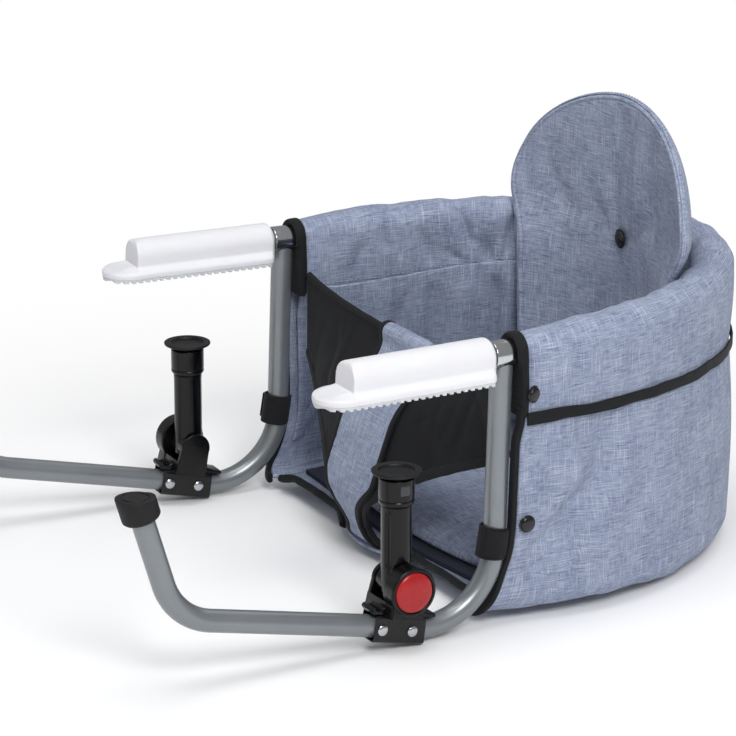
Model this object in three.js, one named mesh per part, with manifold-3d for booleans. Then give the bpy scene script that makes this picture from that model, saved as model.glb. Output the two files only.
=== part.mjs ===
// A child's hook-on table seat: a bent tube frame whose two arms lie on a table top,
// two folding lower arms with screw clamps that press up under the table, and a padded
// fabric bucket with leg holes that hangs on the frame.
// Units are millimetres, +Z is up. The origin is on the table top at its edge, midway
// between the arms: the table lies towards -Y and the child sits at +Y, facing -Y.
import * as THREE from "three";
import { mergeVertices } from "three/addons/utils/BufferGeometryUtils.js";
import Module from "manifold-3d";

const wasm = await Module();
wasm.setup();

// Driving dimensions of the whole seat
const armHalfSpacing = 190; // middle plane to the centre line of an arm
const tubeDiameter = 18; // every frame tube
const armHeight = 18; // centre line of the arms above the table top
const armSplay = THREE.MathUtils.degToRad(2.2); // how far each arm opens to the front
const armFrontY = -122; // front end of the arm tube, inside its pad
const ringFrontY = 36; // where the arms end and the padded ring begins
const ringCurveY = 60; // where the ring starts to curve
const ringDepth = 254; // from there to the rearmost tube centre line
const ringRise = THREE.MathUtils.degToRad(2); // the ring climbs to the rear
const seatBottomZ = -196; // underside of the seat
const railBottomZ = -31; // lower hem of the padded rail
const clearance = 0.3; // gap between neighbouring pieces
const overrun = 2; // how far a cut runs past the face it opens
const mergeShare = 0.001; // corners closer than this share of the clearance are one

// Fineness of the round shapes
const tubeSides = 12;
const turnedSides = 18;
const smallSides = 10;
const bendSteps = 8;
const ringSteps = 24;

// Materials
const finish = (colour, roughness, metalness) =>
  new THREE.MeshStandardMaterial({ color: colour, roughness, metalness });
const silverTube = finish(0x9aa0a3, 0.38, 0.75);
const polishedSteel = finish(0xc4c8c9, 0.22, 0.95);
const whiteRubber = finish(0xeeeef0, 0.6, 0);
const greyRubber = finish(0xc9cacb, 0.75, 0);
const blackRubber = finish(0x1b1b1d, 0.8, 0);
const blackSteel = finish(0x1d1f22, 0.4, 0.5);
const blackPlastic = finish(0x1c1e20, 0.45, 0);
const redPlastic = finish(0xb5282c, 0.35, 0);
const zincSteel = finish(0xb9bcbe, 0.35, 0.9);
const blueFabric = finish(0x7f8fae, 0.9, 0);
const blackWebbing = finish(0x1e1f22, 0.85, 0);
const fibreBoard = finish(0x6d5a45, 0.8, 0);

// Shapes and solids

const tubeRadius = tubeDiameter / 2;
const halfTurn = Math.PI;
const quarterTurn = Math.PI / 2;
const mix = (a, b, share) => a + (b - a) * share;
const smooth = (share) => {
  const s = Math.min(Math.max(share, 0), 1);
  return s * s * (3 - 2 * s);
};

// A closed three.js geometry as a solid that can be cut and joined.
function solid(geometry) {
  const bare = new THREE.BufferGeometry();
  bare.setAttribute("position", geometry.getAttribute("position"));
  if (geometry.index) bare.setIndex(geometry.index);
  const merged = mergeVertices(bare, clearance * mergeShare);
  const build = (triangles) =>
    new wasm.Manifold(
      new wasm.Mesh({
        numProp: 3,
        vertProperties: merged.attributes.position.array,
        triVerts: triangles,
      }),
    );
  const triangles = new Uint32Array(merged.index.array);
  const made = build(triangles);
  return made.volume() < 0 ? build(triangles.reverse()) : made;
}

const join = (first, ...rest) => rest.reduce((sum, part) => sum.add(part), first);
const cut = (first, ...rest) => rest.reduce((left, tool) => left.subtract(tool), first);

function geometryOf(part) {
  const mesh = part.getMesh();
  const geometry = new THREE.BufferGeometry();
  geometry.setAttribute("position", new THREE.BufferAttribute(mesh.vertProperties, 3));
  geometry.setIndex(new THREE.BufferAttribute(mesh.triVerts, 1));
  geometry.computeVertexNormals();
  return geometry;
}

// A named mesh in a group.
function piece(group, name, part, material) {
  const mesh = new THREE.Mesh(geometryOf(part), material);
  mesh.name = name;
  group.add(mesh);
}

const shapeOf = (points) => new THREE.Shape(points.map(([x, y]) => new THREE.Vector2(x, y)));

// A flat outline raised along Z from a start height.
function slab(shape, bottom, height, curveSegments = bendSteps) {
  const geometry = new THREE.ExtrudeGeometry(shape, {
    depth: height,
    bevelEnabled: false,
    curveSegments,
  });
  return solid(geometry.translate(0, 0, bottom));
}

// An outline in X and Z, run along Y from its front to its rear.
function barAlongY(shape, front, rear, curveSegments = bendSteps) {
  const geometry = new THREE.ExtrudeGeometry(shape, {
    depth: rear - front,
    bevelEnabled: false,
    curveSegments,
  });
  return solid(geometry.rotateX(quarterTurn).translate(0, rear, 0));
}

// An outline in Y and Z, run along X from left to right.
function barAlongX(shape, low, high, curveSegments = bendSteps) {
  const geometry = new THREE.ExtrudeGeometry(shape, {
    depth: high - low,
    bevelEnabled: false,
    curveSegments,
  });
  geometry.rotateX(quarterTurn).rotateZ(quarterTurn);
  return solid(geometry.translate(low, 0, 0));
}

// A round section turned about Y: the profile is [radius, distance along the axis].
const turnedY = (profile, sides = turnedSides) =>
  new THREE.LatheGeometry(
    profile.map(([radius, along]) => new THREE.Vector2(radius, along)),
    sides,
  );
const turnedZ = (profile, sides = turnedSides) => turnedY(profile, sides).rotateX(quarterTurn);
const turnedX = (profile, sides = turnedSides) => turnedY(profile, sides).rotateZ(-quarterTurn);

// A plain rod profile from one end to the other.
const rod = (radius, low, high) => [
  [0, low],
  [radius, low],
  [radius, high],
  [0, high],
];

// A ring profile with a bore.
const ring = (inner, outer, low, high) => [
  [inner, low],
  [outer, low],
  [outer, high],
  [inner, high],
  [inner, low],
];

// A path through given points, with one step for each of its stretches.
class Route extends THREE.Curve {
  constructor(points) {
    super();
    this.points = points;
    this.steps = points.length - 1;
  }
  getPoint(t, target = new THREE.Vector3()) {
    const at = Math.min(Math.max(t, 0), 1) * this.steps;
    const index = Math.min(Math.floor(at), this.steps - 1);
    return target.lerpVectors(this.points[index], this.points[index + 1], at - index);
  }
  getUtoTmapping(u) {
    return u;
  }
}

// A round bar along a route.
function tube(points, radius, sides = tubeSides) {
  const route = new Route(points);
  const section = Array.from({ length: sides }, (_, i) => {
    const angle = (2 * halfTurn * i) / sides;
    return [radius * Math.cos(angle), radius * Math.sin(angle)];
  });
  return solid(
    new THREE.ExtrudeGeometry(shapeOf(section), {
      steps: route.steps,
      bevelEnabled: false,
      extrudePath: route,
    }),
  );
}

// A closed skin over a run of closed rings with equal numbers of points.
function loft(rings) {
  const count = rings[0].length;
  const positions = [];
  const index = [];
  const push = (p) => positions.push(p.x, p.y, p.z);
  rings.forEach((points) => points.forEach(push));
  for (let i = 0; i + 1 < rings.length; i++)
    for (let j = 0; j < count; j++) {
      const a = i * count + j;
      const b = i * count + ((j + 1) % count);
      index.push(a, b, a + count, b, b + count, a + count);
    }
  [0, rings.length - 1].forEach((last) => {
    const centre = new THREE.Vector3();
    rings[last].forEach((p) => centre.addScaledVector(p, 1 / count));
    const hub = positions.length / 3;
    push(centre);
    for (let j = 0; j < count; j++) {
      const a = last * count + j;
      const b = last * count + ((j + 1) % count);
      if (last) index.push(a, b, hub);
      else index.push(b, a, hub);
    }
  });
  const geometry = new THREE.BufferGeometry();
  geometry.setAttribute("position", new THREE.Float32BufferAttribute(positions, 3));
  geometry.setIndex(index);
  return solid(geometry);
}

// A thick sheet between two surfaces of u and v, both from 0 to 1.
function sheet(front, back, stepsU, stepsV) {
  const rings = [];
  for (let i = 0; i <= stepsU; i++) {
    const ringPoints = [];
    for (let j = 0; j <= stepsV; j++) ringPoints.push(front(i / stepsU, j / stepsV));
    for (let j = stepsV; j >= 0; j--) ringPoints.push(back(i / stepsU, j / stepsV));
    rings.push(ringPoints);
  }
  const width = stepsV + 1;
  const count = 2 * width;
  const positions = rings.flat().flatMap((p) => [p.x, p.y, p.z]);
  const index = [];
  for (let i = 0; i < stepsU; i++)
    for (let j = 0; j < count; j++) {
      const a = i * count + j;
      const b = i * count + ((j + 1) % count);
      index.push(a, b, a + count, b, b + count, a + count);
    }
  [0, stepsU].forEach((last) => {
    for (let j = 0; j < stepsV; j++) {
      const a = last * count + j;
      const far = last * count + count - 1 - j;
      const quad = [a, a + 1, far - 1, a, far - 1, far];
      index.push(...(last ? quad : quad.reverse()));
    }
  });
  const geometry = new THREE.BufferGeometry();
  geometry.setAttribute("position", new THREE.Float32BufferAttribute(positions, 3));
  geometry.setIndex(index);
  return solid(geometry);
}

// The line of corners in the Y and Z plane, each inner one rounded to its radius.
function roundedRoute(corners, radii) {
  const at = corners.map(([y, z]) => new THREE.Vector3(0, y, z));
  const points = [at[0]];
  for (let i = 1; i + 1 < at.length; i++) {
    const into = at[i].clone().sub(at[i - 1]).normalize();
    const away = at[i + 1].clone().sub(at[i]).normalize();
    const turn = into.angleTo(away);
    const radius = radii[i - 1];
    const reach = radius * Math.tan(turn / 2);
    const start = at[i].clone().addScaledVector(into, -reach);
    const inward = away.clone().addScaledVector(into, -into.dot(away)).normalize();
    const centre = start.clone().addScaledVector(inward, radius);
    for (let k = 0; k <= bendSteps; k++) {
      const angle = (turn * k) / bendSteps;
      points.push(
        centre
          .clone()
          .addScaledVector(inward, -radius * Math.cos(angle))
          .addScaledVector(into, radius * Math.sin(angle)),
      );
    }
  }
  points.push(at[at.length - 1]);
  return points;
}

// The ring in plan: a straight stretch, half an ellipse round the rear, a straight stretch.
// along runs from 0 at the left front end to 1 at the right front end, and offset is the
// distance outside the tube's centre line.
const leadLength = ringCurveY - ringFrontY;
const sweepLength = (halfTurn * (armHalfSpacing + ringDepth)) / 2;
const leadShare = leadLength / (2 * leadLength + sweepLength);

function ringPlan(along, offset, frontY = ringFrontY) {
  if (along < leadShare) {
    const y = mix(frontY, ringCurveY, along / leadShare);
    return new THREE.Vector2(armHalfSpacing + offset, y);
  }
  if (along > 1 - leadShare) {
    const y = mix(frontY, ringCurveY, (1 - along) / leadShare);
    return new THREE.Vector2(-armHalfSpacing - offset, y);
  }
  const angle = (halfTurn * (along - leadShare)) / (1 - 2 * leadShare);
  const normal = new THREE.Vector2(
    Math.cos(angle) / armHalfSpacing,
    Math.sin(angle) / ringDepth,
  ).normalize();
  return new THREE.Vector2(
    armHalfSpacing * Math.cos(angle) + offset * normal.x,
    ringCurveY + ringDepth * Math.sin(angle) + offset * normal.y,
  );
}

const ringHeight = (along) =>
  armHeight + Math.tan(ringRise) * Math.max(ringPlan(along, 0).y - ringCurveY, 0);

const onRing = (along, offset, z, frontY) => {
  const plan = ringPlan(along, offset, frontY);
  return new THREE.Vector3(plan.x, plan.y, z);
};

const seat = new THREE.Group();

// Upper frame: one tube from the left arm round the seat to the right arm

const armLength = ringFrontY - armFrontY;
const armEnd = (side) =>
  new THREE.Vector3(
    side * (armHalfSpacing + armLength * Math.sin(armSplay)),
    ringFrontY - armLength * Math.cos(armSplay),
    armHeight,
  );

function ringCentreLine() {
  const points = [onRing(0, 0, ringHeight(0))];
  for (let i = 0; i <= ringSteps; i++) {
    const along = mix(leadShare, 1 - leadShare, i / ringSteps);
    points.push(onRing(along, 0, ringHeight(along)));
  }
  points.push(onRing(1, 0, ringHeight(1)));
  return points;
}

const frameRoute = [armEnd(1), ...ringCentreLine(), armEnd(-1)];
piece(seat, "upper_frame_tube", tube(frameRoute, tubeRadius), silverTube);

// Padded rail: a roll of wadding and cloth over the ring, open below

const railRadius = 18; // outside of the roll round the tube
const railPinch = 3; // how much slimmer the roll is at its front ends
const railSwellLength = 60; // over this length it swells to its full size
const hemHalfWidth = 16; // half width of the roll at its lower hem
const hemRounding = 3; // of the hem's corners
const gatherCount = 18; // shallow gathers of the cloth round the inside of the roll
const gatherDepth = 2;
const gatherStart = 90; // behind the front ends, where they begin
const bindingWidth = 5; // of the black binding along the front edges
const railCrownSteps = 8;
const coverSteps = 18;
const backCoverSteps = 12;
const rearSeamShares = [0.36, 0.64]; // seams of the rail, along the ring
const seamGap = 0.4;

const railFrontShare = (leadShare * bindingWidth) / leadLength;
const ringLength = 2 * leadLength + sweepLength;

const seamShare = seamGap / ringLength / 2;
const [leftSeam, rightSeam] = rearSeamShares;
const coverStart = railFrontShare + seamShare;
const stations = (from, to, steps) =>
  Array.from({ length: steps + 1 }, (_, i) => mix(from, to, i / steps));
const railSpans = {
  rail_cover_left: [coverStart, leftSeam - seamShare, coverSteps],
  rail_cover_back: [leftSeam + seamShare, rightSeam - seamShare, backCoverSteps],
  rail_cover_right: [rightSeam + seamShare, 1 - coverStart, coverSteps],
};

const rollRadius = (fromEnd) =>
  railRadius - railPinch * (1 - smooth(fromEnd / railSwellLength));

// How deep the gathers are at one place along the ring.
function gatherAt(along) {
  const fromEnd = Math.min(along, 1 - along) * ringLength;
  const wave = Math.sin(halfTurn * gatherCount * along) ** 2;
  return gatherDepth * wave * smooth((fromEnd - gatherStart) / gatherStart);
}

// Closed outline of the roll at one place along the ring.
function railSection(along) {
  const radius = rollRadius(Math.min(along, 1 - along) * ringLength);
  const centre = ringHeight(along);
  const waist = mix(centre, railBottomZ, 1 / 2);
  const gather = gatherAt(along);
  const outline = [];
  for (let i = 0; i <= railCrownSteps; i++) {
    const angle = (halfTurn * i) / railCrownSteps;
    const here = radius - (gather * (1 - Math.cos(angle))) / 2;
    outline.push([here * Math.cos(angle), centre + here * Math.sin(angle)]);
  }
  outline.push([gather - radius, waist]);
  outline.push([-hemHalfWidth, railBottomZ + hemRounding]);
  outline.push([-hemHalfWidth + hemRounding, railBottomZ]);
  outline.push([hemHalfWidth - hemRounding, railBottomZ]);
  outline.push([hemHalfWidth, railBottomZ + hemRounding]);
  outline.push([radius, waist]);
  return outline.map(([offset, z]) => onRing(along, offset, z));
}

const railBore = tube(frameRoute, tubeRadius + clearance / Math.cos(halfTurn / tubeSides));

Object.entries(railSpans).forEach(([name, span]) => {
  piece(seat, name, cut(loft(stations(...span).map(railSection)), railBore), blueFabric);
});

// Bucket walls: cloth panels from the rail's hem down to the seat

const wallThickness = 5; // two cloths with thin wadding
const wallTopOffset = 15;
const wallBottomOffset = 18;
const wallBulge = 3;
const wallDrawIn = 11; // how much narrower the walls' lower front corners are
const wallSwellLength = 80; // behind the front edge, over which the walls grow baggy
const cornerRadius = 18; // rounded edge between the walls and the bottom
const wallFrontLowY = 12; // the front edge runs forward to this at the bottom
const wallFrontTurnZ = -110; // and starts to do so here
const wallFrontPower = 2.4;
const wallStraightSteps = 8;
const wallCornerSteps = 3;
const wallSteps = 18;
const foldDepth = 3; // of the deepest fold in the side cloth
const foldWidth = 11;
const foldFadeShare = 0.4;
// Each fold runs down in an S. Its two ends are given as shares of the wall's height and of
// the ring's length, and its depth and width as shares of the deepest one's.
const wallFoldShares = [
  { top: 0.15, bottom: 0.58, topAlong: 0.093, bottomAlong: 0.059, deep: 1, wide: 1 },
  { top: 0.64, bottom: 0.88, topAlong: 0.046, bottomAlong: 0.013, deep: 0.7, wide: 0.8 },
  { top: 0.2, bottom: 0.95, topAlong: 0.15, bottomAlong: 0.123, deep: 0.5, wide: 1.3 },
];

const wallStepsDown = wallStraightSteps + wallCornerSteps;
const cornerStepShare = wallCornerSteps / wallStepsDown;
const wallTopZ = railBottomZ - clearance;
const wallFloorZ = seatBottomZ + cornerRadius;

// How far the folds draw the cloth in at a place, down being a share of the straight wall.
function foldAt(along, down) {
  const fromEnd = Math.min(along, 1 - along);
  return wallFoldShares.reduce((sum, fold) => {
    const share = (down - fold.top) / (fold.bottom - fold.top);
    const middle = mix(fold.topAlong, fold.bottomAlong, smooth(share));
    const fade = smooth((1 + foldFadeShare - Math.abs(2 * share - 1)) / foldFadeShare);
    const away = ((fromEnd - middle) * ringLength) / (foldWidth * fold.wide);
    return sum + foldDepth * fold.deep * fade * Math.exp(-away * away);
  }, 0);
}

// Offset, height and slant of the wall's outer face, from the hem to the bottom's edge.
function wallProfile(down, along) {
  const fromEnd = Math.min(along, 1 - along) * ringLength;
  const swell = smooth(fromEnd / wallSwellLength);
  const foot = wallBottomOffset - wallDrawIn * (1 - swell);
  if (down < 1 - cornerStepShare) {
    const share = down / (1 - cornerStepShare);
    const bulge = wallBulge * swell * Math.sin(halfTurn * share) - foldAt(along, share);
    return [mix(wallTopOffset, foot, share) + bulge, mix(wallTopZ, wallFloorZ, share), 0];
  }
  const angle = (quarterTurn * (down - 1 + cornerStepShare)) / cornerStepShare;
  return [
    foot - cornerRadius * (1 - Math.cos(angle)),
    wallFloorZ - cornerRadius * Math.sin(angle),
    angle,
  ];
}

// The front edge of the wall, which runs forward in a curve near the bottom.
function wallFrontY(z) {
  const share = Math.max((wallFrontTurnZ - z) / (wallFrontTurnZ - seatBottomZ), 0);
  return mix(ringFrontY + bindingWidth, wallFrontLowY, share ** wallFrontPower);
}

// A point inside the wall, with its depth below the outer face.
function inWall(down, along, depth, frontY) {
  const [offset, z, angle] = wallProfile(down, along);
  const inner = offset - depth * Math.cos(angle);
  return onRing(along, inner, z + depth * Math.sin(angle), frontY ?? wallFrontY(z));
}

function wall(from, to, steps) {
  const face = (depth) => (u, v) => inWall(v, mix(from, to, u), depth);
  return sheet(face(0), face(wallThickness), steps, wallStepsDown);
}

const wallSpans = {
  side_panel_left: [0, leftSeam - seamShare, wallSteps],
  back_panel: [leftSeam + seamShare, rightSeam - seamShare, backCoverSteps],
  side_panel_right: [rightSeam + seamShare, 1, wallSteps],
};
Object.entries(wallSpans).forEach(([name, span]) => {
  piece(seat, name, wall(...span), blueFabric);
});

// Hem tape: the black tape line along the rail's lower edge, outside

const tapeHeight = 9;
const tapeDrop = 1.5; // its middle below the hem
const tapeThickness = 1.6;

function hemTape() {
  const inner = hemHalfWidth + 2 * clearance;
  const low = railBottomZ - tapeDrop - tapeHeight / 2;
  const high = railBottomZ - tapeDrop + tapeHeight / 2;
  const section = (along) => [
    onRing(along, inner, low),
    onRing(along, inner + tapeThickness, low),
    onRing(along, inner + tapeThickness, high),
    onRing(along, inner, high),
  ];
  return loft(Object.values(railSpans).flatMap((span) => stations(...span)).map(section));
}

piece(seat, "hem_tape", hemTape(), blackWebbing);

// Front edge bindings: black tape round the rail's end and down the panel's front edge

const endRingRadius = 19;
const edgeWrap = 1.5; // how far the binding stands out from the wall on each side
const edgeGap = 0.8; // between the binding and the wall's curved edge

function frontEdgeBinding(side) {
  const x = side * armHalfSpacing;
  const back = ringFrontY + bindingWidth - clearance;
  const endRing = solid(
    turnedY(
      ring(tubeRadius + 2 * clearance, endRingRadius, ringFrontY + clearance, back),
      turnedSides,
    ).translate(x, 0, armHeight),
  );
  const along = side > 0 ? 0 : 1;
  const section = (down, rise) =>
    [wallThickness + edgeWrap, -edgeWrap].flatMap((depth, i) => {
      const rear = wallFrontY(wallProfile(down, along)[1]) - edgeGap;
      const front = rear - bindingWidth + 2 * clearance;
      const ends = i ? [rear, front] : [front, rear];
      return ends.map((y) => {
        const p = inWall(down, along, depth, y);
        return p.setZ(p.z + rise);
      });
    });
  const rings = [section(0, armHeight - tubeRadius - 3 * clearance - wallTopZ)];
  for (let i = 0; i <= wallStepsDown; i++) rings.push(section(i / wallStepsDown, 0));
  return join(endRing, loft(rings));
}

piece(seat, "front_edge_binding_left", frontEdgeBinding(1), blackWebbing);
piece(seat, "front_edge_binding_right", frontEdgeBinding(-1), blackWebbing);

// Snaps: domed caps on the rail's and the panel's outer faces

const snapRadius = 7;
const snapHeight = 3.4;
const snapRimHeight = 1.2;
const snapSteps = 3;

// A domed cap that stands on the origin and points along +X.
function snapCap() {
  const profile = [
    [0, 0],
    [snapRadius, 0],
    [snapRadius, snapRimHeight],
  ];
  for (let i = 1; i <= snapSteps; i++) {
    const angle = (quarterTurn * i) / snapSteps;
    const radius = i === snapSteps ? 0 : snapRadius * Math.cos(angle);
    profile.push([radius, mix(snapRimHeight, snapHeight, Math.sin(angle))]);
  }
  return turnedX(profile, smallSides);
}

const snapY = 48.5;
const upperSnapZ = -13;
const lowerSnapZ = -120;
const snapRearY = snapY + snapRadius;
const upperSnapSeat = rollRadius(snapRearY - ringFrontY);
const lowerSnapShare = (wallTopZ - lowerSnapZ) / (wallTopZ - wallFloorZ);
const lowerSnapDown = lowerSnapShare * (1 - cornerStepShare);
const lowerSnapSeat = wallProfile(lowerSnapDown, (snapRearY - ringFrontY) / ringLength)[0];
[1, -1].forEach((side) => {
  const name = side > 0 ? "left" : "right";
  const cap = (offset, z) => {
    const geometry = snapCap();
    if (side < 0) geometry.rotateZ(halfTurn);
    const x = side * (armHalfSpacing + offset + clearance);
    return solid(geometry.translate(x, snapY, z));
  };
  piece(seat, "snap_upper_" + name, cap(upperSnapSeat, upperSnapZ), blackPlastic);
  piece(seat, "snap_lower_" + name, cap(lowerSnapSeat, lowerSnapZ), blackPlastic);
});

// Seat bottom: outer cloth, stiff board and a crowned cushion

const bottomClothThickness = 3;
const boardThickness = 4;
const cushionEdge = 8;
const cushionCrown = 12;
const bottomFrontY = 16; // front edge of the bottom at the sides
const bottomFrontBulge = 13; // how far its middle comes forward of that
const boardFrontY = 41; // the stiff board starts behind the leg holes
const frontEdgeSteps = 12;

// How far the bottom's front edge comes forward, over its width.
const frontBulge = (share) => bottomFrontBulge * Math.sin(halfTurn * share) ** 2;

// Outline of a flat layer of the bottom, inset from the walls' lower lip.
function bottomPlan(inset, frontY) {
  const outline = Object.values(wallSpans)
    .flatMap((span) => stations(...span))
    .map((along) => ringPlan(along, wallProfile(1, along)[0] - inset, frontY).toArray());
  const halfWidth = outline[0][0];
  for (let i = 1; i < frontEdgeSteps; i++) {
    const share = i / frontEdgeSteps;
    outline.push([mix(-halfWidth, halfWidth, share), frontY - frontBulge(share)]);
  }
  return shapeOf(outline);
}

const boardInset = wallThickness + 2 * clearance;
piece(
  seat,
  "seat_bottom_cloth",
  slab(bottomPlan(clearance, bottomFrontY), seatBottomZ, bottomClothThickness),
  blueFabric,
);
const boardZ = seatBottomZ + bottomClothThickness + clearance;
const boardTopZ = boardZ + boardThickness;
piece(
  seat,
  "seat_board",
  slab(bottomPlan(boardInset, boardFrontY), boardZ, boardThickness),
  fibreBoard,
);

// Backrest: a curved board between a padded front and a rear cover

const restHalfWidth = 139; // above the ring
const restInnerHalfWidth = 112; // where it stands inside the ring
const restFootHalfWidth = 104;
const restWidestZ = 66;
const restTopZ = 158;
const restRingTopZ = 50; // clear of the padded ring
const restSetIn = 63; // front face in the middle, in front of the rearmost tube
const restCentreY = ringCurveY + ringDepth - restSetIn;
const restBow = 31; // how far its sides come forward, above the ring
const restInnerBow = 38; // and inside it
const restPadThickness = 8;
const restPadEdge = 4; // thickness at the pad's rim
const restBoardThickness = 2;
const restCoverThickness = 3;
const restCoverEdge = 2;
const restLayerGap = 1;
const restStepsAcross = 11;
const restArchSteps = 7;
const restNeckSteps = 3;
const restFootSteps = 3;
const restArchEndShare = 0.97; // the arch stops just short of its apex
const restRimPower = 20; // how sharply the pad and the cover thin at the rim
const restBottomZ = boardTopZ + clearance;

// Rows of the backrest from its foot to its top, as [height, half width, bow of the sides].
function restRows() {
  const rows = [];
  for (let i = 0; i < restFootSteps; i++) {
    const share = i / restFootSteps;
    const half = mix(restFootHalfWidth, restInnerHalfWidth, share);
    const bow = restInnerBow * (half / restInnerHalfWidth) ** 2;
    rows.push([mix(restBottomZ, restRingTopZ, share), half, bow]);
  }
  for (let i = 0; i < restNeckSteps; i++) {
    const share = i / restNeckSteps;
    const half = mix(restInnerHalfWidth, restHalfWidth, smooth(share));
    const bow = mix(restInnerBow, restBow, smooth(share));
    rows.push([mix(restRingTopZ, restWidestZ, share), half, bow]);
  }
  for (let i = 0; i <= restArchSteps; i++) {
    const angle = (quarterTurn * restArchEndShare * i) / restArchSteps;
    const z = restWidestZ + (restTopZ - restWidestZ) * Math.sin(angle);
    rows.push([z, restHalfWidth * Math.cos(angle), restBow * Math.cos(angle) ** 2]);
  }
  return rows;
}

const backrestRows = restRows();

// A layer of the backrest between two depths behind its front face. A trimmed layer leaves
// out a row and a column of the others along its rim.
function restLayer(trim, near, far, nearEdge, farEdge) {
  const steps = backrestRows.length - 1 - trim;
  const columns = restStepsAcross - 2 * trim;
  const face = (depth, edgeDepth) => (u, v) => {
    const [z, half, bow] = backrestRows[Math.round(v * steps)];
    const column = Math.round(u * columns) + trim;
    const across = Math.sin(quarterTurn * ((2 * column) / restStepsAcross - 1));
    const rim = Math.max(Math.abs(across), v) ** restRimPower;
    return new THREE.Vector3(
      half * across,
      restCentreY - bow * across ** 2 + mix(depth, edgeDepth, rim),
      z,
    );
  };
  return sheet(face(near, nearEdge), face(far, farEdge), columns, steps);
}

const restBoardFront = restPadThickness + restLayerGap;
const restBoardBack = restBoardFront + restBoardThickness;
const restCoverFront = restBoardBack + restLayerGap;
const restCoverBack = restCoverFront + restCoverThickness;
const restPadRim = restPadThickness - restPadEdge;
const restCoverRim = restCoverFront + restCoverEdge;
piece(
  seat,
  "backrest_front_pad",
  restLayer(0, 0, restPadThickness, restPadRim, restPadThickness),
  blueFabric,
);
piece(
  seat,
  "backrest_board",
  restLayer(1, restBoardFront, restBoardBack, restBoardFront, restBoardBack),
  fibreBoard,
);
piece(
  seat,
  "backrest_rear_cover",
  restLayer(0, restCoverFront, restCoverBack, restCoverFront, restCoverRim),
  blueFabric,
);

const restSnapZ = 36;
const restSnapWidthShare = 0.85; // the backrest's snap is a little oval
const restSnapY =
  restCentreY - restInnerBow * Math.sin(quarterTurn / restStepsAcross) ** 2 - clearance;
const restSnap = snapCap().rotateZ(-quarterTurn).scale(restSnapWidthShare, 1, 1);
piece(seat, "backrest_snap", solid(restSnap.translate(0, restSnapY, restSnapZ)), blackPlastic);

// Seat cushion: crowned, with its sides drawn in

const cushionFrontY = 40;
const cushionRearY = restCentreY - restInnerBow;
const cushionStepsAcross = 12;
const cushionStepsDeep = 10;
const cushionZ = boardTopZ + clearance;
const cushionPower = 4; // flatness of its crown
const cushionPullShare = 0.25; // its corners are drawn in by this much
const cushionRearShare = 0.9; // its rear edge is this much of its width

function seatCushion() {
  const middleY = (cushionFrontY + cushionRearY) / 2;
  const halfDepth = (cushionRearY - cushionFrontY) / 2;
  const halfWidth = armHalfSpacing + wallProfile(1, 0)[0] - boardInset;
  const face = (height) => (u, v) => {
    const a = 2 * u - 1;
    const b = 2 * v - 1;
    const pull = 1 - cushionPullShare * (a * b) ** 2;
    const x = halfWidth * a * pull * mix(1, cushionRearShare, v * v);
    const y = middleY + halfDepth * b * pull;
    const crown = cushionCrown * (1 - a ** cushionPower) * (1 - b ** cushionPower);
    return new THREE.Vector3(x, y, cushionZ + height * (cushionEdge + crown));
  };
  return sheet(face(1), face(0), cushionStepsAcross, cushionStepsDeep);
}

piece(seat, "seat_cushion", seatCushion(), blueFabric);

// Front panel: one cloth from the belly edge down between the leg holes to the seat

const panelThickness = 4;
const panelTopZ = -12;
const panelTopY = 40;
const panelSetIn = 22; // its sides stay this far inside the arms' centre lines
const panelHalfWidth = armHalfSpacing - panelSetIn;
const panelSideY = 41; // where its sides join the side panels
const bellySideZ = -76; // lowest place of its sides, where the leg holes begin
const bellyY = -10; // where it bulges furthest forward
const bellyZ = -148;
const crotchHalfWidth = 14;
const crotchFootHalfWidth = 30;
const crotchZ = -176;
const crotchY = -4;
const panelFootY = 12;
const panelFootZ = boardZ + panelThickness / 2;
const panelTaperPower = 1.7;
const panelStepsAcross = 10;
const panelBellySteps = 3;
const panelTaperSteps = 8;
const panelFootSteps = 2;

// Rows of the panel from its top edge to the seat, as [y, z, half width].
function panelRows() {
  const rows = [];
  const lean = (z) =>
    z > bellyZ
      ? mix(panelTopY, bellyY, (panelTopZ - z) / (panelTopZ - bellyZ))
      : mix(bellyY, crotchY, (bellyZ - z) / (bellyZ - crotchZ));
  for (let i = 0; i < panelBellySteps; i++) {
    const z = mix(panelTopZ, bellySideZ, i / panelBellySteps);
    rows.push([lean(z), z, panelHalfWidth]);
  }
  for (let i = 0; i <= panelTaperSteps; i++) {
    const share = i / panelTaperSteps;
    const z = mix(bellySideZ, crotchZ, share);
    const half = mix(crotchHalfWidth, panelHalfWidth, (1 - share) ** panelTaperPower);
    rows.push([lean(z), z, half]);
  }
  for (let i = 1; i <= panelFootSteps; i++) {
    const angle = (quarterTurn * i) / panelFootSteps;
    rows.push([
      mix(crotchY, panelFootY, 1 - Math.cos(angle)),
      mix(crotchZ, panelFootZ, Math.sin(angle)),
      mix(crotchHalfWidth, crotchFootHalfWidth, i / panelFootSteps),
    ]);
  }
  return rows;
}

const frontPanelRows = panelRows();
const panelSteps = frontPanelRows.length - 1;

// A point of the panel: across from -1 to 1, and depth in front of its middle surface.
function panelPoint(across, row, depth = 0) {
  const [y, z, half] = frontPanelRows[row];
  const before = frontPanelRows[Math.max(row - 1, 0)];
  const after = frontPanelRows[Math.min(row + 1, panelSteps)];
  const run = new THREE.Vector2(after[0] - before[0], after[1] - before[1]).normalize();
  const x = half * across;
  const toSide = (x / panelHalfWidth) ** 2;
  return new THREE.Vector3(x, mix(y, panelSideY, toSide) + run.y * depth, z - run.x * depth);
}

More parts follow.
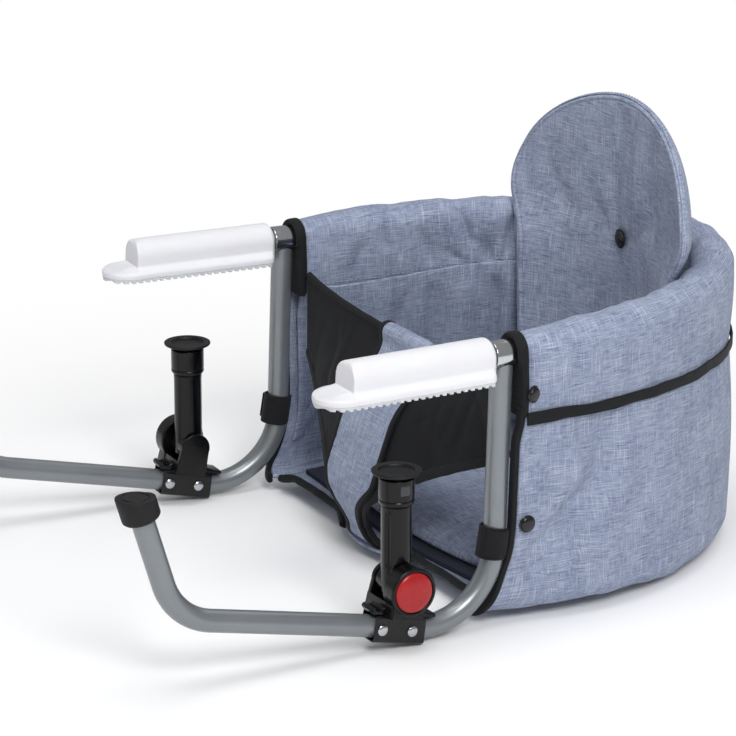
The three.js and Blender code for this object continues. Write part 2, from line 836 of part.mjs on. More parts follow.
const panelFace = (depth) => (u, v) => panelPoint(2 * u - 1, Math.round(v * panelSteps), depth);
const frontPanel = sheet(
  panelFace(panelThickness / 2),
  panelFace(-panelThickness / 2),
  panelStepsAcross,
  panelSteps,
);
piece(seat, "front_panel", frontPanel, blueFabric);

// Bindings of the front panel, and of the seat's front edge

const cordRadius = 2.6;
const cordSides = 6;
const cordGap = cordRadius + panelThickness / 4;

const topBindingRoute = Array.from({ length: panelStepsAcross + 1 }, (_, i) => {
  const p = panelPoint((2 * i) / panelStepsAcross - 1, 0);
  return p.setZ(p.z + cordGap);
});
piece(seat, "front_panel_top_binding", tube(topBindingRoute, cordRadius, cordSides), blackWebbing);

// The edge of a leg hole, moved out of the panel by the cord's gap, square to the edge.
function legEdge(side) {
  const route = [];
  for (let row = panelBellySteps; row <= panelSteps; row++) {
    const here = panelPoint(side, row);
    const run = panelPoint(side, Math.min(row + 1, panelSteps)).sub(
      panelPoint(side, Math.max(row - 1, panelBellySteps)),
    );
    const across = panelPoint(side, row).sub(panelPoint(0, row)).normalize();
    const out = across.addScaledVector(run, -across.dot(run) / run.lengthSq()).normalize();
    route.push(here.addScaledVector(out, cordGap));
  }
  return route;
}

[1, -1].forEach((side) => {
  const name = side > 0 ? "left" : "right";
  piece(seat, "leg_binding_" + name, tube(legEdge(side), cordRadius, cordSides), blackWebbing);
});

// The seat's front edge has its own binding on each side of the panel's foot.
const seatEdgeInner = crotchFootHalfWidth + cordGap + 2 * cordRadius;

function seatEdgeBinding(side) {
  const halfWidth = armHalfSpacing + wallProfile(1, 0)[0] - clearance;
  const outer = halfWidth - cornerRadius / 2;
  const route = Array.from({ length: frontEdgeSteps / 2 + 1 }, (_, i) => {
    const x = mix(seatEdgeInner, outer, (2 * i) / frontEdgeSteps);
    const bulge = frontBulge((1 + x / halfWidth) / 2);
    const y = bottomFrontY - bulge - cordRadius - 2 * clearance;
    return new THREE.Vector3(side * x, y, seatBottomZ + cordRadius);
  });
  return tube(route, cordRadius, cordSides);
}

piece(seat, "seat_front_binding_left", seatEdgeBinding(1), blackWebbing);
piece(seat, "seat_front_binding_right", seatEdgeBinding(-1), blackWebbing);

// One side of the frame, made for the left and mirrored for the right.
// Here X is 0 on the arm's centre line and grows outwards, and Y and Z are the seat's own.

// Grip pad and its ribbed sole

const padRearY = 15;
const padTopFrontY = -112;
const padNoseY = -128;
const flangeFrontY = -137;
const flangeHalfWidth = 22;
const flangeTopZ = 8.5;
const soleThickness = 3.2;
const padHalfWidth = 15;
const padRounding = 6;
const toothPitch = 6.25;
const toothDepth = 1.3;

function flangePlan(inset) {
  const half = flangeHalfWidth - inset;
  const rear = padRearY - padRounding / 2 - inset;
  const shape = new THREE.Shape();
  shape.moveTo(half, flangeFrontY + flangeHalfWidth);
  shape.lineTo(half, rear - padRounding);
  shape.absarc(half - padRounding, rear - padRounding, padRounding, 0, quarterTurn);
  shape.absarc(-half + padRounding, rear - padRounding, padRounding, quarterTurn, halfTurn);
  shape.lineTo(-half, flangeFrontY + flangeHalfWidth);
  shape.absarc(0, flangeFrontY + flangeHalfWidth, half, halfTurn, 2 * halfTurn);
  return shape;
}

function gripPad() {
  const section = new THREE.Shape();
  section.moveTo(-padHalfWidth, soleThickness + clearance);
  section.lineTo(padHalfWidth, soleThickness + clearance);
  section.lineTo(padHalfWidth, armHeight);
  section.absarc(0, armHeight, padHalfWidth, 0, halfTurn);
  const topZ = armHeight + padHalfWidth;
  const low = soleThickness + clearance;
  const side = shapeOf([
    [padNoseY, low],
    [padRearY - padRounding / 2, low],
    [padRearY, low + padRounding],
    [padRearY, topZ - padRounding],
    [padRearY - padRounding / 3, topZ - padRounding / 3],
    [padRearY - padRounding, topZ],
    [padTopFrontY, topZ],
    [mix(padTopFrontY, padNoseY, 1 / 3), topZ - padRounding / 2],
    [padNoseY, flangeTopZ + padRounding / 2],
  ]);
  const sleeve = barAlongY(section, padNoseY, padRearY).intersect(
    barAlongX(side, -padHalfWidth, padHalfWidth),
  );
  const flange = slab(flangePlan(0), low, flangeTopZ - low);
  const bore = solid(
    turnedY(rod(tubeRadius + clearance, armFrontY - clearance, padRearY + overrun), tubeSides * 2)
      .translate(0, 0, armHeight),
  );
  return cut(join(sleeve, flange), bore);
}

function gripSole() {
  const rear = padRearY;
  const teeth = Math.floor((rear - flangeFrontY) / toothPitch);
  const outline = [[rear, soleThickness]];
  for (let i = 0; i < teeth; i++) {
    const start = rear - i * toothPitch;
    outline.push([start, 0]);
    outline.push([start - toothPitch / 2, 0]);
    outline.push([start - (toothPitch * 5) / 8, toothDepth]);
    outline.push([start - (toothPitch * 7) / 8, toothDepth]);
  }
  outline.push([flangeFrontY, 0]);
  outline.push([flangeFrontY, soleThickness]);
  const comb = barAlongX(shapeOf(outline.reverse()), -flangeHalfWidth, flangeHalfWidth);
  return comb.intersect(slab(flangePlan(clearance), 0, soleThickness));
}

// Lower arm: its tube, its pivot sleeve on the upper arm, and its foot

const pivotY = 26.5;
const sleeveRadius = 11;
const sleeveHalfLength = 9.3;
const legLean = THREE.MathUtils.degToRad(1.8);
const runSlope = THREE.MathUtils.degToRad(12.5);
const rearBendRadius = 60;
const frontBendRadius = 52;
const legCornerY = 20; // where the upright's and the run's centre lines meet
const legCornerZ = -208;
const runLength = 284; // from that corner to the front one
const footLean = THREE.MathUtils.degToRad(17);
const footTopZ = -45; // leaves room for a table top this thick
const footRadius = 15;
const footDepth = 12; // of the cap over the tube's end
const footFloor = 6; // rubber above the tube's end
const footBevel = 1.5;

const frontCornerY = legCornerY - runLength * Math.cos(runSlope);
const frontCornerZ = legCornerZ + runLength * Math.sin(runSlope);
const footTipZ = footTopZ - footFloor;
const footTipY = frontCornerY - Math.tan(footLean) * (footTipZ - frontCornerZ);
const pivotTopY = legCornerY + Math.tan(legLean) * (armHeight - legCornerZ);

const lowerArmRoute = roundedRoute(
  [
    [pivotTopY, armHeight],
    [legCornerY, legCornerZ],
    [frontCornerY, frontCornerZ],
    [footTipY, footTipZ],
  ],
  [rearBendRadius, frontBendRadius],
);

// The room that a piece round the lower arm leaves for its tube.
const lowerArmRoom = () =>
  tube(lowerArmRoute, tubeRadius + clearance / Math.cos(halfTurn / tubeSides));

// Clamp: bracket, hinge base and column, placed along the run

const hubY = -63.7;
const hubZ = -154;
const bracketFrontReach = 20.5; // from under the hub
const bracketRearReach = 26.5;
const bracketHalfWidth = 11;
const bracketSheet = 1.5;
const rivetSpacing = 27;
const rivetRadius = 2.5;
const rivetHeadRadius = 4.5;
const rivetHeadHeight = 1.8;
const rivetCrownShare = 0.8; // width of the head where its crown begins
const rivetHole = rivetRadius + clearance;

// Height of the hub above the run's centre line, square to the run.
const hubDrop = hubZ - (legCornerZ + Math.tan(runSlope) * (legCornerY - hubY));
const hubHeight = hubDrop * Math.cos(runSlope);

// Turns a solid drawn with X across, Y forward along the run and Z square to it,
// its origin on the run's centre line under the hub, into the side's own frame.
function onRun(part) {
  const place = new THREE.Matrix4().makeRotationX(-runSlope);
  const down = new THREE.Vector3(0, 0, -hubHeight).applyMatrix4(place);
  place.setPosition(down.x, hubY + down.y, hubZ + down.z);
  return part.transform(place.toArray());
}

const rivetPlaces = { front: -rivetSpacing / 2, rear: rivetSpacing / 2 };

function rivetBar(along, radius, reach) {
  return solid(turnedX(rod(radius, -reach, reach), smallSides).translate(0, along, 0));
}

const rivetHoles = () =>
  Object.values(rivetPlaces).map((along) =>
    onRun(rivetBar(along, rivetHole, bracketHalfWidth + overrun)),
  );

function lowerArm() {
  const sleeveRoom = solid(
    turnedY(
      rod(sleeveRadius + clearance, pivotTopY - tubeDiameter, pivotTopY + tubeDiameter),
      turnedSides,
    ).translate(0, 0, armHeight),
  );
  return cut(tube(lowerArmRoute, tubeRadius), sleeveRoom, ...rivetHoles());
}

function pivotSleeve() {
  return solid(
    turnedY(
      ring(
        tubeRadius + clearance,
        sleeveRadius,
        pivotY - sleeveHalfLength,
        pivotY + sleeveHalfLength,
      ),
      turnedSides,
    ).translate(0, 0, armHeight),
  );
}

function footCap() {
  const inner = tubeRadius + clearance;
  const cap = turnedZ(
    [
      [inner, -footDepth],
      [footRadius - footBevel, -footDepth],
      [footRadius, footBevel - footDepth],
      [footRadius, footFloor + footRadius],
      [0, footFloor + footRadius],
      [0, clearance],
      [inner, clearance],
      [inner, -footDepth],
    ],
    turnedSides,
  );
  cap.rotateX(footLean).translate(0, footTipY, footTipZ);
  const side = 4 * footRadius;
  const above = solid(
    new THREE.BoxGeometry(side, side, side).translate(0, footTipY, footTopZ + side / 2),
  );
  return cut(solid(cap), above);
}

function clampBracket() {
  const outer = bracketHalfWidth;
  const inner = outer - bracketSheet;
  const channel = shapeOf([
    [-outer, -outer],
    [outer, -outer],
    [outer, outer],
    [inner, outer],
    [inner, -inner],
    [-inner, -inner],
    [-inner, outer],
    [-outer, outer],
  ]);
  const bar = barAlongY(channel, -bracketFrontReach, bracketRearReach);
  return cut(onRun(bar), ...rivetHoles());
}

function rivet(along) {
  const start = bracketHalfWidth + clearance;
  const end = start + rivetHeadHeight;
  const half = [
    [rivetRadius, start],
    [rivetHeadRadius, start],
    [rivetHeadRadius * rivetCrownShare, end - rivetHeadHeight / 3],
    [0, end],
  ];
  const mirrored = half.map(([radius, at]) => [radius, -at]).reverse();
  const body = turnedX([...mirrored, ...half], smallSides);
  return onRun(solid(body.translate(0, along, 0)));
}

// Hinge base: a saddle with two horns, and two cheeks that hold the column's hub

const columnRadius = 12;
const columnX = -4; // the column stands a little inside the arm's plane
const farCheekThickness = 4;
const nearCheekOuter = 24;
const farCheekRadius = 13;
const nearCheekRadius = 19.5;
const hornFrontReach = 24;
const hornRearReach = 34;
const hornHalfWidth = 9;
const hornThickness = 3;
const baseHalfLength = 14;
const baseFloor = 12.8; // below the hub's axis, free for the column's end
const pocketRadius = 16.4; // room for the button
const pocketDepth = 9.5;
const pinRadius = 4;

const cheekGap = columnRadius + 2 * clearance;
const farCheekOuter = columnX - cheekGap - farCheekThickness;

function hingeBase() {
  const low = bracketHalfWidth + clearance;
  const tip = low + hornThickness;
  const floor = hubHeight - baseFloor;
  const hornShape = new THREE.Shape();
  hornShape.moveTo(-hornFrontReach, low);
  hornShape.lineTo(hornRearReach, low);
  hornShape.lineTo(hornRearReach, tip);
  hornShape.quadraticCurveTo(baseHalfLength, tip, baseHalfLength - hornThickness, floor);
  hornShape.lineTo(hornThickness - baseHalfLength, floor);
  hornShape.quadraticCurveTo(-baseHalfLength, tip, -hornFrontReach, tip);
  const horns = barAlongX(hornShape, -hornHalfWidth, hornHalfWidth, smallSides / 2);
  const blockShape = shapeOf([
    [-baseHalfLength, low],
    [baseHalfLength, low],
    [farCheekRadius, hubHeight],
    [-farCheekRadius, hubHeight],
  ]);
  const block = barAlongX(blockShape, farCheekOuter, nearCheekOuter);
  const disc = (radius, from, to) =>
    solid(turnedX(rod(radius, from, to), turnedSides).translate(0, 0, hubHeight));
  const slotHeight = 2 * nearCheekRadius;
  const slot = solid(
    new THREE.BoxGeometry(2 * cheekGap, 4 * hornRearReach, slotHeight).translate(
      columnX,
      0,
      floor + slotHeight / 2,
    ),
  );
  const body = join(
    horns,
    block,
    disc(farCheekRadius, farCheekOuter, columnX),
    disc(nearCheekRadius, columnX, nearCheekOuter),
  );
  const placed = onRun(
    cut(
      body,
      slot,
      disc(pocketRadius, nearCheekOuter - pocketDepth, nearCheekOuter + overrun),
      disc(pinRadius + clearance, farCheekOuter - overrun, nearCheekOuter),
    ),
  );
  return cut(placed, lowerArmRoom());
}

const atHub = (geometry) => solid(geometry.translate(0, hubY, hubZ));

const hingePin = () =>
  atHub(
    turnedX(rod(pinRadius, farCheekOuter + clearance, nearCheekOuter - pocketDepth), smallSides),
  );

// Column with its bore, turning on the pin

const stemRadius = 7;
const columnBore = stemRadius + 2 * clearance;
const columnTopZ = -89;
const boreFloorRise = 7; // of the bore's floor over the hub's axis

function supportColumn() {
  const height = columnTopZ - hubZ;
  const barrel = turnedZ(
    [
      [0, 0],
      [columnRadius, 0],
      [columnRadius, height],
      [columnBore, height],
      [columnBore, boreFloorRise],
      [0, boreFloorRise],
    ],
    turnedSides,
  );
  const knuckle = turnedX(rod(columnRadius, -columnRadius, columnRadius), turnedSides);
  [barrel, knuckle].forEach((geometry) => geometry.translate(columnX, 0, 0));
  const pinHole = turnedX(
    rod(pinRadius + clearance, columnX - cheekGap, columnX + cheekGap),
    smallSides,
  );
  return cut(join(atHub(barrel), atHub(knuckle)), atHub(pinHole));
}

// Adjusting nut and table dish: the nut turns, and its thread lifts the dish

const nutRadius = 14;
const nutHeight = 21.6;
const nutBottomZ = columnTopZ + clearance;
const nutTopZ = nutBottomZ + nutHeight;
const nutBevel = 1.2;
const windowWidth = 8;
const windowHeight = 5;
const windowDepth = 1.5;
const dishRadius = 19.8;
const dishTopZ = -62;
const dishRim = 2.4;
const recessRadius = 13.8;
const recessDepth = 1.8;
const stemLength = 58;

function adjustingNut() {
  const inner = stemRadius + clearance;
  const body = solid(
    turnedZ(
      [
        [inner, nutBottomZ],
        [nutRadius - nutBevel, nutBottomZ],
        [nutRadius, nutBottomZ + nutBevel],
        [nutRadius, nutTopZ - nutBevel],
        [nutRadius - nutBevel, nutTopZ],
        [inner, nutTopZ],
        [inner, nutBottomZ],
      ],
      turnedSides,
    ).translate(columnX, hubY, 0),
  );
  const cutter = solid(
    new THREE.BoxGeometry(2 * windowDepth, windowWidth, windowHeight).translate(
      columnX + nutRadius,
      hubY,
      nutTopZ - windowHeight,
    ),
  );
  return cut(body, cutter);
}

function tableDish() {
  const low = nutTopZ + clearance;
  return solid(
    turnedZ(
      [
        [0, low - stemLength],
        [stemRadius, low - stemLength],
        [stemRadius, low],
        [nutRadius - nutBevel, low],
        [nutRadius, dishTopZ - dishRim - nutBevel / 2],
        [dishRadius - nutBevel, dishTopZ - dishRim],
        [dishRadius, dishTopZ - dishRim / 2],
        [dishRadius - nutBevel / 2, dishTopZ],
        [recessRadius, dishTopZ],
        [recessRadius - nutBevel, dishTopZ - recessDepth],
        [0, dishTopZ - recessDepth],
      ],
      turnedSides,
    ).translate(columnX, hubY, 0),
  );
}

// Lock button in the near cheek, with its spring behind it

const buttonRadius = 16.1;
const buttonTravel = 3;
const buttonApex = 27;
const buttonRimAt = 23.5;
const springSqueezedLength = 1;
const buttonSteps = 4;
const springInner = 6;
const springOuter = 8;
const buttonBack = nearCheekOuter - pocketDepth + buttonTravel + springSqueezedLength;

function lockButton() {
  const profile = [
    [0, buttonBack],
    [buttonRadius, buttonBack],
  ];
  for (let i = 0; i <= buttonSteps; i++) {
    const share = i / buttonSteps;
    const radius = i === buttonSteps ? 0 : buttonRadius * Math.cos(quarterTurn * share);
    profile.push([radius, mix(buttonRimAt, buttonApex, Math.sin(quarterTurn * share))]);
  }
  return atHub(turnedX(profile, turnedSides));
}

const buttonSpring = () =>
  atHub(
    turnedX(
      ring(
        springInner,
        springOuter,
        nearCheekOuter - pocketDepth + clearance,
        buttonBack - clearance,
      ),
      smallSides,
    ),
  );

// Hook-and-loop strap that ties the cloth's front edge to the lower arm

const strapTopZ = -121;
const strapHeight = 26;
const strapTilt = THREE.MathUtils.degToRad(9);
const strapWall = 2.2;
const strapShift = 2.4; // its middle is this far in front of the tube's
const strapTailY = 32.5;

function hookLoopStrap() {
  const radius = tubeRadius + clearance + strapWall;
  const middleZ = strapTopZ - strapHeight / 2;
  const drop = legCornerZ - middleZ;
  const middleY = legCornerY - Math.tan(legLean) * drop - strapShift;
  const tail = strapTailY - middleY;
  const outline = new THREE.Shape();
  outline.absarc(0, 0, radius, halfTurn, 2 * halfTurn);
  outline.lineTo(strapWall * 2, tail);
  outline.lineTo(-strapWall, tail);
  const place = new THREE.Matrix4().makeRotationX(-strapTilt);
  place.setPosition(0, middleY, middleZ);
  const block = slab(outline, -strapHeight / 2, strapHeight).transform(place.toArray());
  return cut(block, lowerArmRoom());
}

function addSide(name, mirror) {
  const mirrored = new THREE.Group();
  mirrored.scale.x = mirror;
  const splayed = new THREE.Group();
  splayed.position.set(armHalfSpacing, ringFrontY, 0);
  splayed.rotation.z = armSplay;
  const side = new THREE.Group();
  side.position.y = -ringFrontY;
  seat.add(mirrored);
  mirrored.add(splayed);
  splayed.add(side);
  const add = (what, part, material) => piece(side, what + "_" + name, part, material);
  add("grip_pad", gripPad(), whiteRubber);
  add("grip_sole", gripSole(), greyRubber);
  add("lower_arm", lowerArm(), silverTube);
  add("pivot_sleeve", pivotSleeve(), polishedSteel);
  add("foot_cap", footCap(), blackRubber);
  add("clamp_bracket", clampBracket(), blackSteel);
  add("bracket_rivet_front", rivet(rivetPlaces.front), zincSteel);
  add("bracket_rivet_rear", rivet(rivetPlaces.rear), zincSteel);
  add("hinge_base", hingeBase(), blackPlastic);
  add("hinge_pin", hingePin(), zincSteel);
  add("support_column", supportColumn(), blackPlastic);
  add("adjusting_nut", adjustingNut(), blackPlastic);
  add("table_dish", tableDish(), blackPlastic);
  add("lock_button", lockButton(), redPlastic);
  add("button_spring", buttonSpring(), zincSteel);
  add("hook_loop_strap", hookLoopStrap(), blackWebbing);
}

addSide("left", 1);
addSide("right", -1);

export default seat;
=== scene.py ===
# %% [markdown]
# # Dressing a hook-on table seat
# The frame is the packed CAD model of the seat: bent tubes, two folding lower arms with
# screw clamps, and a cloth bucket for the child. This file puts a finished surface in place
# of each plain solid, gives every piece its material, and sets up the studio and the camera.
# Lengths are written in millimetres, as on a drawing, and become metres in the meshes.

import math

import bmesh
import bpy
import numpy as np
from mathutils import Matrix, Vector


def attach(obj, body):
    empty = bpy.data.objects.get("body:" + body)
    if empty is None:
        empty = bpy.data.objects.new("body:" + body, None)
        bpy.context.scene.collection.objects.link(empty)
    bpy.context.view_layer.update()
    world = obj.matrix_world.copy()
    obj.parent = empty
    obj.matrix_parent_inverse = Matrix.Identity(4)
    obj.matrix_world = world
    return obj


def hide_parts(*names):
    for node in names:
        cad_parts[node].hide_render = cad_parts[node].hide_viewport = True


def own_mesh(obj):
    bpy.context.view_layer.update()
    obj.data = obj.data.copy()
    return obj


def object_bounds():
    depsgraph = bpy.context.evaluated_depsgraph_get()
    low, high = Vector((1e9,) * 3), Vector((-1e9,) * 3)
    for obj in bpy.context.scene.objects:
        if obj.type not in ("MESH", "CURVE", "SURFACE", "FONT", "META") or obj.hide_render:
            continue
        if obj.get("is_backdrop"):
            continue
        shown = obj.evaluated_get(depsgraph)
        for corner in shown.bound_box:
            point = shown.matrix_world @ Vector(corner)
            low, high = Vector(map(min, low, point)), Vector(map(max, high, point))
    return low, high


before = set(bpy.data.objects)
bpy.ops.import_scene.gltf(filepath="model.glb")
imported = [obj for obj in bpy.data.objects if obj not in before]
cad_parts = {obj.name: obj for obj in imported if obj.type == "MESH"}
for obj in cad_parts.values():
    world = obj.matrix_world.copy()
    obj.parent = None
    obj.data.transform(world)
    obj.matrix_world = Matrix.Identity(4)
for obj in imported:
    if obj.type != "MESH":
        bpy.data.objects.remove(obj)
cad_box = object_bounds()
scene = bpy.context.scene
scene.view_settings.view_transform = "Standard"
MM = 0.001

# %% [markdown]
# ## The camera
# The photograph was taken from the seat's left front with a long lens, a little from above.
# Its place, direction and focal length were fitted to the two arms, the grips and the ring,
# so that the picture has the same perspective.

# %% The camera
LENS = 176.9  # for a sensor 36 mm wide
camera_place = np.array([2498.3, -1300.7, 831.3])
look_right = (0.46419, 0.88573, 0.00231)
look_up = (-0.26340, 0.13555, 0.95512)
look_back = (0.84566, -0.44396, 0.29623)

camera_data = bpy.data.cameras.new("camera")
camera_data.lens = LENS
camera_data.sensor_width = 36
camera_data.clip_end = 60
camera = bpy.data.objects.new("camera", camera_data)
turn = Matrix(np.array([look_right, look_up, look_back]).T.tolist()).to_4x4()
camera.matrix_world = Matrix.Translation((camera_place * MM).tolist()) @ turn
scene.collection.objects.link(camera)
scene.camera = camera
print("camera:", LENS, "mm lens,", round(float(np.linalg.norm(camera_place)) * MM, 2), "m away")

# %% [markdown]
# ## Surfaces from numbers
# Every new piece is one or more grids of points. A grid could be drawn by hand, but here it
# is worked out as whole numpy arrays from a formula in two directions, because the same
# formula can then carry a fold, a seam or a rounded edge. These small sums come back in
# nearly all of the formulas.

# %% Small sums


def mix(a, b, share):
    """a at share 0, b at share 1, on a straight line between."""
    return a + (b - a) * share


def smooth(share):
    """0 to 1 with no corner at either end: 3 s squared less 2 s cubed."""
    s = np.clip(share, 0, 1)
    return s * s * (3 - 2 * s)


def unit(vectors):
    """Each vector divided by its length."""
    return vectors / np.maximum(np.linalg.norm(vectors, axis=-1, keepdims=True), 1e-12)


def points_of(*parts):
    """Arrays of x, y and z, stretched to one shape and stacked as points."""
    return np.stack(np.broadcast_arrays(*parts), -1).astype(float)


def lengths_along(line):
    """The length of a line of points up to each of them."""
    return np.concatenate([[0], np.linalg.norm(np.diff(line, axis=0), axis=1).cumsum()])


def relaxed(values, times):
    """A line made softer that many times: each inner value becomes a quarter of the one
    before, half of itself and a quarter of the one after."""
    values = values.copy()
    for _ in range(times):
        values[1:-1] = (values[:-2] + 2 * values[1:-1] + values[2:]) / 4
    return values


def rotated(points, angle, axis):
    """Points turned about the x or the z axis: in the plane square to it, the first place
    becomes first * cos - second * sin, and the second first * sin + second * cos."""
    first, second = {"x": (1, 2), "z": (0, 1)}[axis]
    c, s = math.cos(angle), math.sin(angle)
    made = np.array(points, float)
    made[..., first] = points[..., first] * c - points[..., second] * s
    made[..., second] = points[..., first] * s + points[..., second] * c
    return made


print("a quarter of the way, the smooth share is", smooth(0.25))

# %% [markdown]
# Beside its place, each point keeps where it would lie if the cloth were spread flat, so that
# a woven pattern can follow every fold. Blender could unwrap the mesh, but a grid of points
# knows its own lengths, so they are summed up in both directions.

# %% Flat cuts


def flat_cut(points):
    """Where each point would lie if the piece were laid flat: the mean length of the
    surface up to it, in metres, along the first direction and along the second."""
    along = np.linalg.norm(np.diff(points, axis=0), axis=-1).mean(1).cumsum()
    across = np.linalg.norm(np.diff(points, axis=1), axis=-1).mean(0).cumsum()
    a, b = np.concatenate([[0], along]), np.concatenate([[0], across])
    return np.stack(np.meshgrid(a, b, indexing="ij"), -1) * MM


small_grid = points_of(np.array([[0.0], [10.0]]), np.array([[0.0, 5.0]]), 0.0)
print("flat cut of 10 by 5 mm, in metres:", flat_cut(small_grid)[-1, -1])

# %% [markdown]
# `build` turns the grids of a piece into one closed mesh: it merges the doubles where grids
# meet and turns the faces outwards.

# %% Closed meshes
WELD = 0.002  # points closer than this become one


def build(name, grids, plates=(), sharp=38):
    """One mesh from grids of points in millimetres, or of (points, flat cut), and from
    plates, which are single flat faces given by their corner points in order."""
    places, loops, sizes, cuts = [], [], [], []
    start = 0
    for grid in grids:
        points, cut = grid if isinstance(grid, tuple) else (grid, flat_cut(grid))
        rows, columns = points.shape[:2]
        i = np.arange(rows - 1)[:, None] * columns
        j = np.arange(columns - 1)[None, :]
        quads = np.stack([i + j, i + j + columns, i + j + columns + 1, i + j + 1], -1)
        places.append(points.reshape(-1, 3))
        cuts.append(cut.reshape(-1, 2))
        loops.append(quads.ravel() + start)
        sizes.append(np.full(quads.size // 4, 4))
        start += rows * columns
    for plate in plates:
        places.append(plate)
        cuts.append(plate[:, :2] * MM)
        loops.append(np.arange(len(plate)) + start)
        sizes.append(np.array([len(plate)]))
        start += len(plate)
    places, loops, sizes = map(np.concatenate, (places, loops, sizes))
    mesh = bpy.data.meshes.new(name)
    mesh.vertices.add(len(places))
    mesh.vertices.foreach_set("co", (places * MM).astype(np.float32).ravel())
    mesh.loops.add(len(loops))
    mesh.loops.foreach_set("vertex_index", loops.astype(np.int32))
    mesh.polygons.add(len(sizes))
    mesh.polygons.foreach_set("loop_start", (sizes.cumsum() - sizes).astype(np.int32))
    mesh.update(calc_edges=True)
    layer = mesh.uv_layers.new(name="cut")
    layer.data.foreach_set("uv", np.concatenate(cuts)[loops].astype(np.float32).ravel())
    work = bmesh.new()
    work.from_mesh(mesh)
    bmesh.ops.remove_doubles(work, verts=work.verts, dist=WELD * MM)
    bmesh.ops.recalc_face_normals(work, faces=work.faces)
    work.to_mesh(mesh)
    work.free()
    mesh.shade_smooth()
    mesh.set_sharp_from_angle(angle=math.radians(sharp))
    piece = bpy.data.objects.new(name, mesh)
    scene.collection.objects.link(piece)
    return piece


print("points closer than", WELD, "mm are merged")

# %% [markdown]
# Hard pieces have edges with a small radius, because no tool leaves a perfectly sharp one. A
# bevel modifier could round them afterwards, but a section that is drawn with its corners
# eased stays exact when it is carried along a path or turned round an axis.

# %% Rounded lines and closed ends


def eased(corners, radius, steps=5, closed=False):
    """A line with its corners rounded: each is cut back by the radius on both sides, at most
    by half a leg, and joined by the curve (1-t)^2 start + 2t(1-t) corner + t^2 end."""
    p = np.asarray(corners, float)
    before, after = np.roll(p, 1, 0), np.roll(p, -1, 0)
    into, away = before - p, after - p
    reach = np.broadcast_to(np.asarray(radius, float), len(p))[:, None]
    spans = [np.linalg.norm(leg, axis=1, keepdims=True) for leg in (into, away)]
    start = p + unit(into) * np.minimum(reach, spans[0] * 0.499)
    end = p + unit(away) * np.minimum(reach, spans[1] * 0.499)
    t = np.linspace(0, 1, steps + 1)[None, :, None]
    curve = (1 - t) ** 2 * start[:, None] + 2 * t * (1 - t) * p[:, None] + t**2 * end[:, None]
    if closed:
        ring = curve.reshape(-1, p.shape[1])
        return np.concatenate([ring, ring[:1]])
    return np.concatenate([p[:1], curve[1:-1].reshape(-1, p.shape[1]), p[-1:]])


def ended(points):
    """A run of rings closed at both ends: the extra first and last rings are all at the
    middle of their neighbour."""
    first = np.broadcast_to(points[:1].mean(1, keepdims=True), points[:1].shape)
    last = np.broadcast_to(points[-1:].mean(1, keepdims=True), points[:1].shape)
    return np.concatenate([first, points, last])


print("a rounded corner:", eased([[0, 0], [4, 0], [4, 4]], 1.0, 2).round(2).tolist())

# %% [markdown]
# A tube or a tape is one section carried along a path, and a button is one profile turned
# round its axis. A curve with a bevel object could carry the first. Both are grids of points
# here, so that skins, flat cuts and folds can be laid on them by the same helpers.

# %% Carried sections and turned profiles


def sweep(path, section, up=(0, 0, 1)):
    """A closed section carried along a path: point = path + side * first + top * second,
    where side is square to the path and to up, and top is square to both."""
    path, section = np.asarray(path, float), np.asarray(section, float)
    run = unit(np.gradient(path, axis=0))
    side = unit(np.cross(run, np.asarray(up, float)))
    top = np.cross(side, run)
    section = np.broadcast_to(section, (len(path),) + section.shape[-2:])
    return (
        path[:, None]
        + side[:, None] * section[..., :1]
        + top[:, None] * section[..., 1:]
    )


def circle(radius, sides=48):
    """A closed circle: radius times cosine and sine."""
    angle = np.linspace(0, 2 * np.pi, sides + 1)
    return np.stack([radius * np.cos(angle), radius * np.sin(angle)], -1)


def lozenge(width, height, radius):
    """A closed rectangle with rounded corners, round the origin."""
    w, h = width / 2, height / 2
    return eased([[w, -h], [w, h], [-w, h], [-w, -h]], radius, 4, closed=True)


def turned(profile, axis="z", sides=96, centre=(0, 0, 0)):
    """A profile of [radius, distance along the axis], turned round it."""
    profile = np.asarray(profile, float)
    angle = np.linspace(0, 2 * np.pi, sides + 1)[None, :]
    r, along = profile[:, :1], profile[:, 1:]
    first, second = r * np.cos(angle), r * np.sin(angle)
    along = along + 0 * angle
    order = {"x": (along, first, second), "y": (second, along, first), "z": (first, second, along)}
    return points_of(*order[axis]) + np.asarray(centre, float)


print("a rounded rectangle has", len(lozenge(10.0, 5.0, 1.0)), "points")

# %% [markdown]
# Cloth is made as two skins on either side of a middle surface, which meet in a rounded rim.
# A solidify modifier would do the same, but here the rim gets rows of its own, so that it
# stays round where the piece is folded.

# %% Skins


def normals_of(points, closed=False):
    """The direction square to a grid at each point: the cross product of its two slopes.
    On a closed section the first and last columns are the same place."""
    slope_a = np.gradient(points, axis=0)
    if closed:
        wide = np.concatenate([points[:, -2:-1], points, points[:, 1:2]], 1)
        slope_b = np.gradient(wide, axis=1)[:, 1:-1]
    else:
        slope_b = np.gradient(points, axis=1)
    return unit(np.cross(slope_a, slope_b))


def shares(count, length, rim):
    """Shares from 0 to 1 for a grid of that length: even steps between two rims, and in each
    rim steps that follow a quarter circle, so that a rounded edge is smooth."""
    edge = rim / length * (1 - np.cos(np.linspace(0, np.pi / 2, 6)))
    inner = np.linspace(edge[-1], 1 - edge[-1], count)
    return np.concatenate([edge[:-1], inner, 1 - edge[:-1][::-1]])


def rounding(distance, rim):
    """A quarter circle: 0 at the edge, 1 from the rim inwards."""
    s = np.clip(distance / rim, 0, 1)
    return np.sqrt(1 - (1 - s) ** 2)


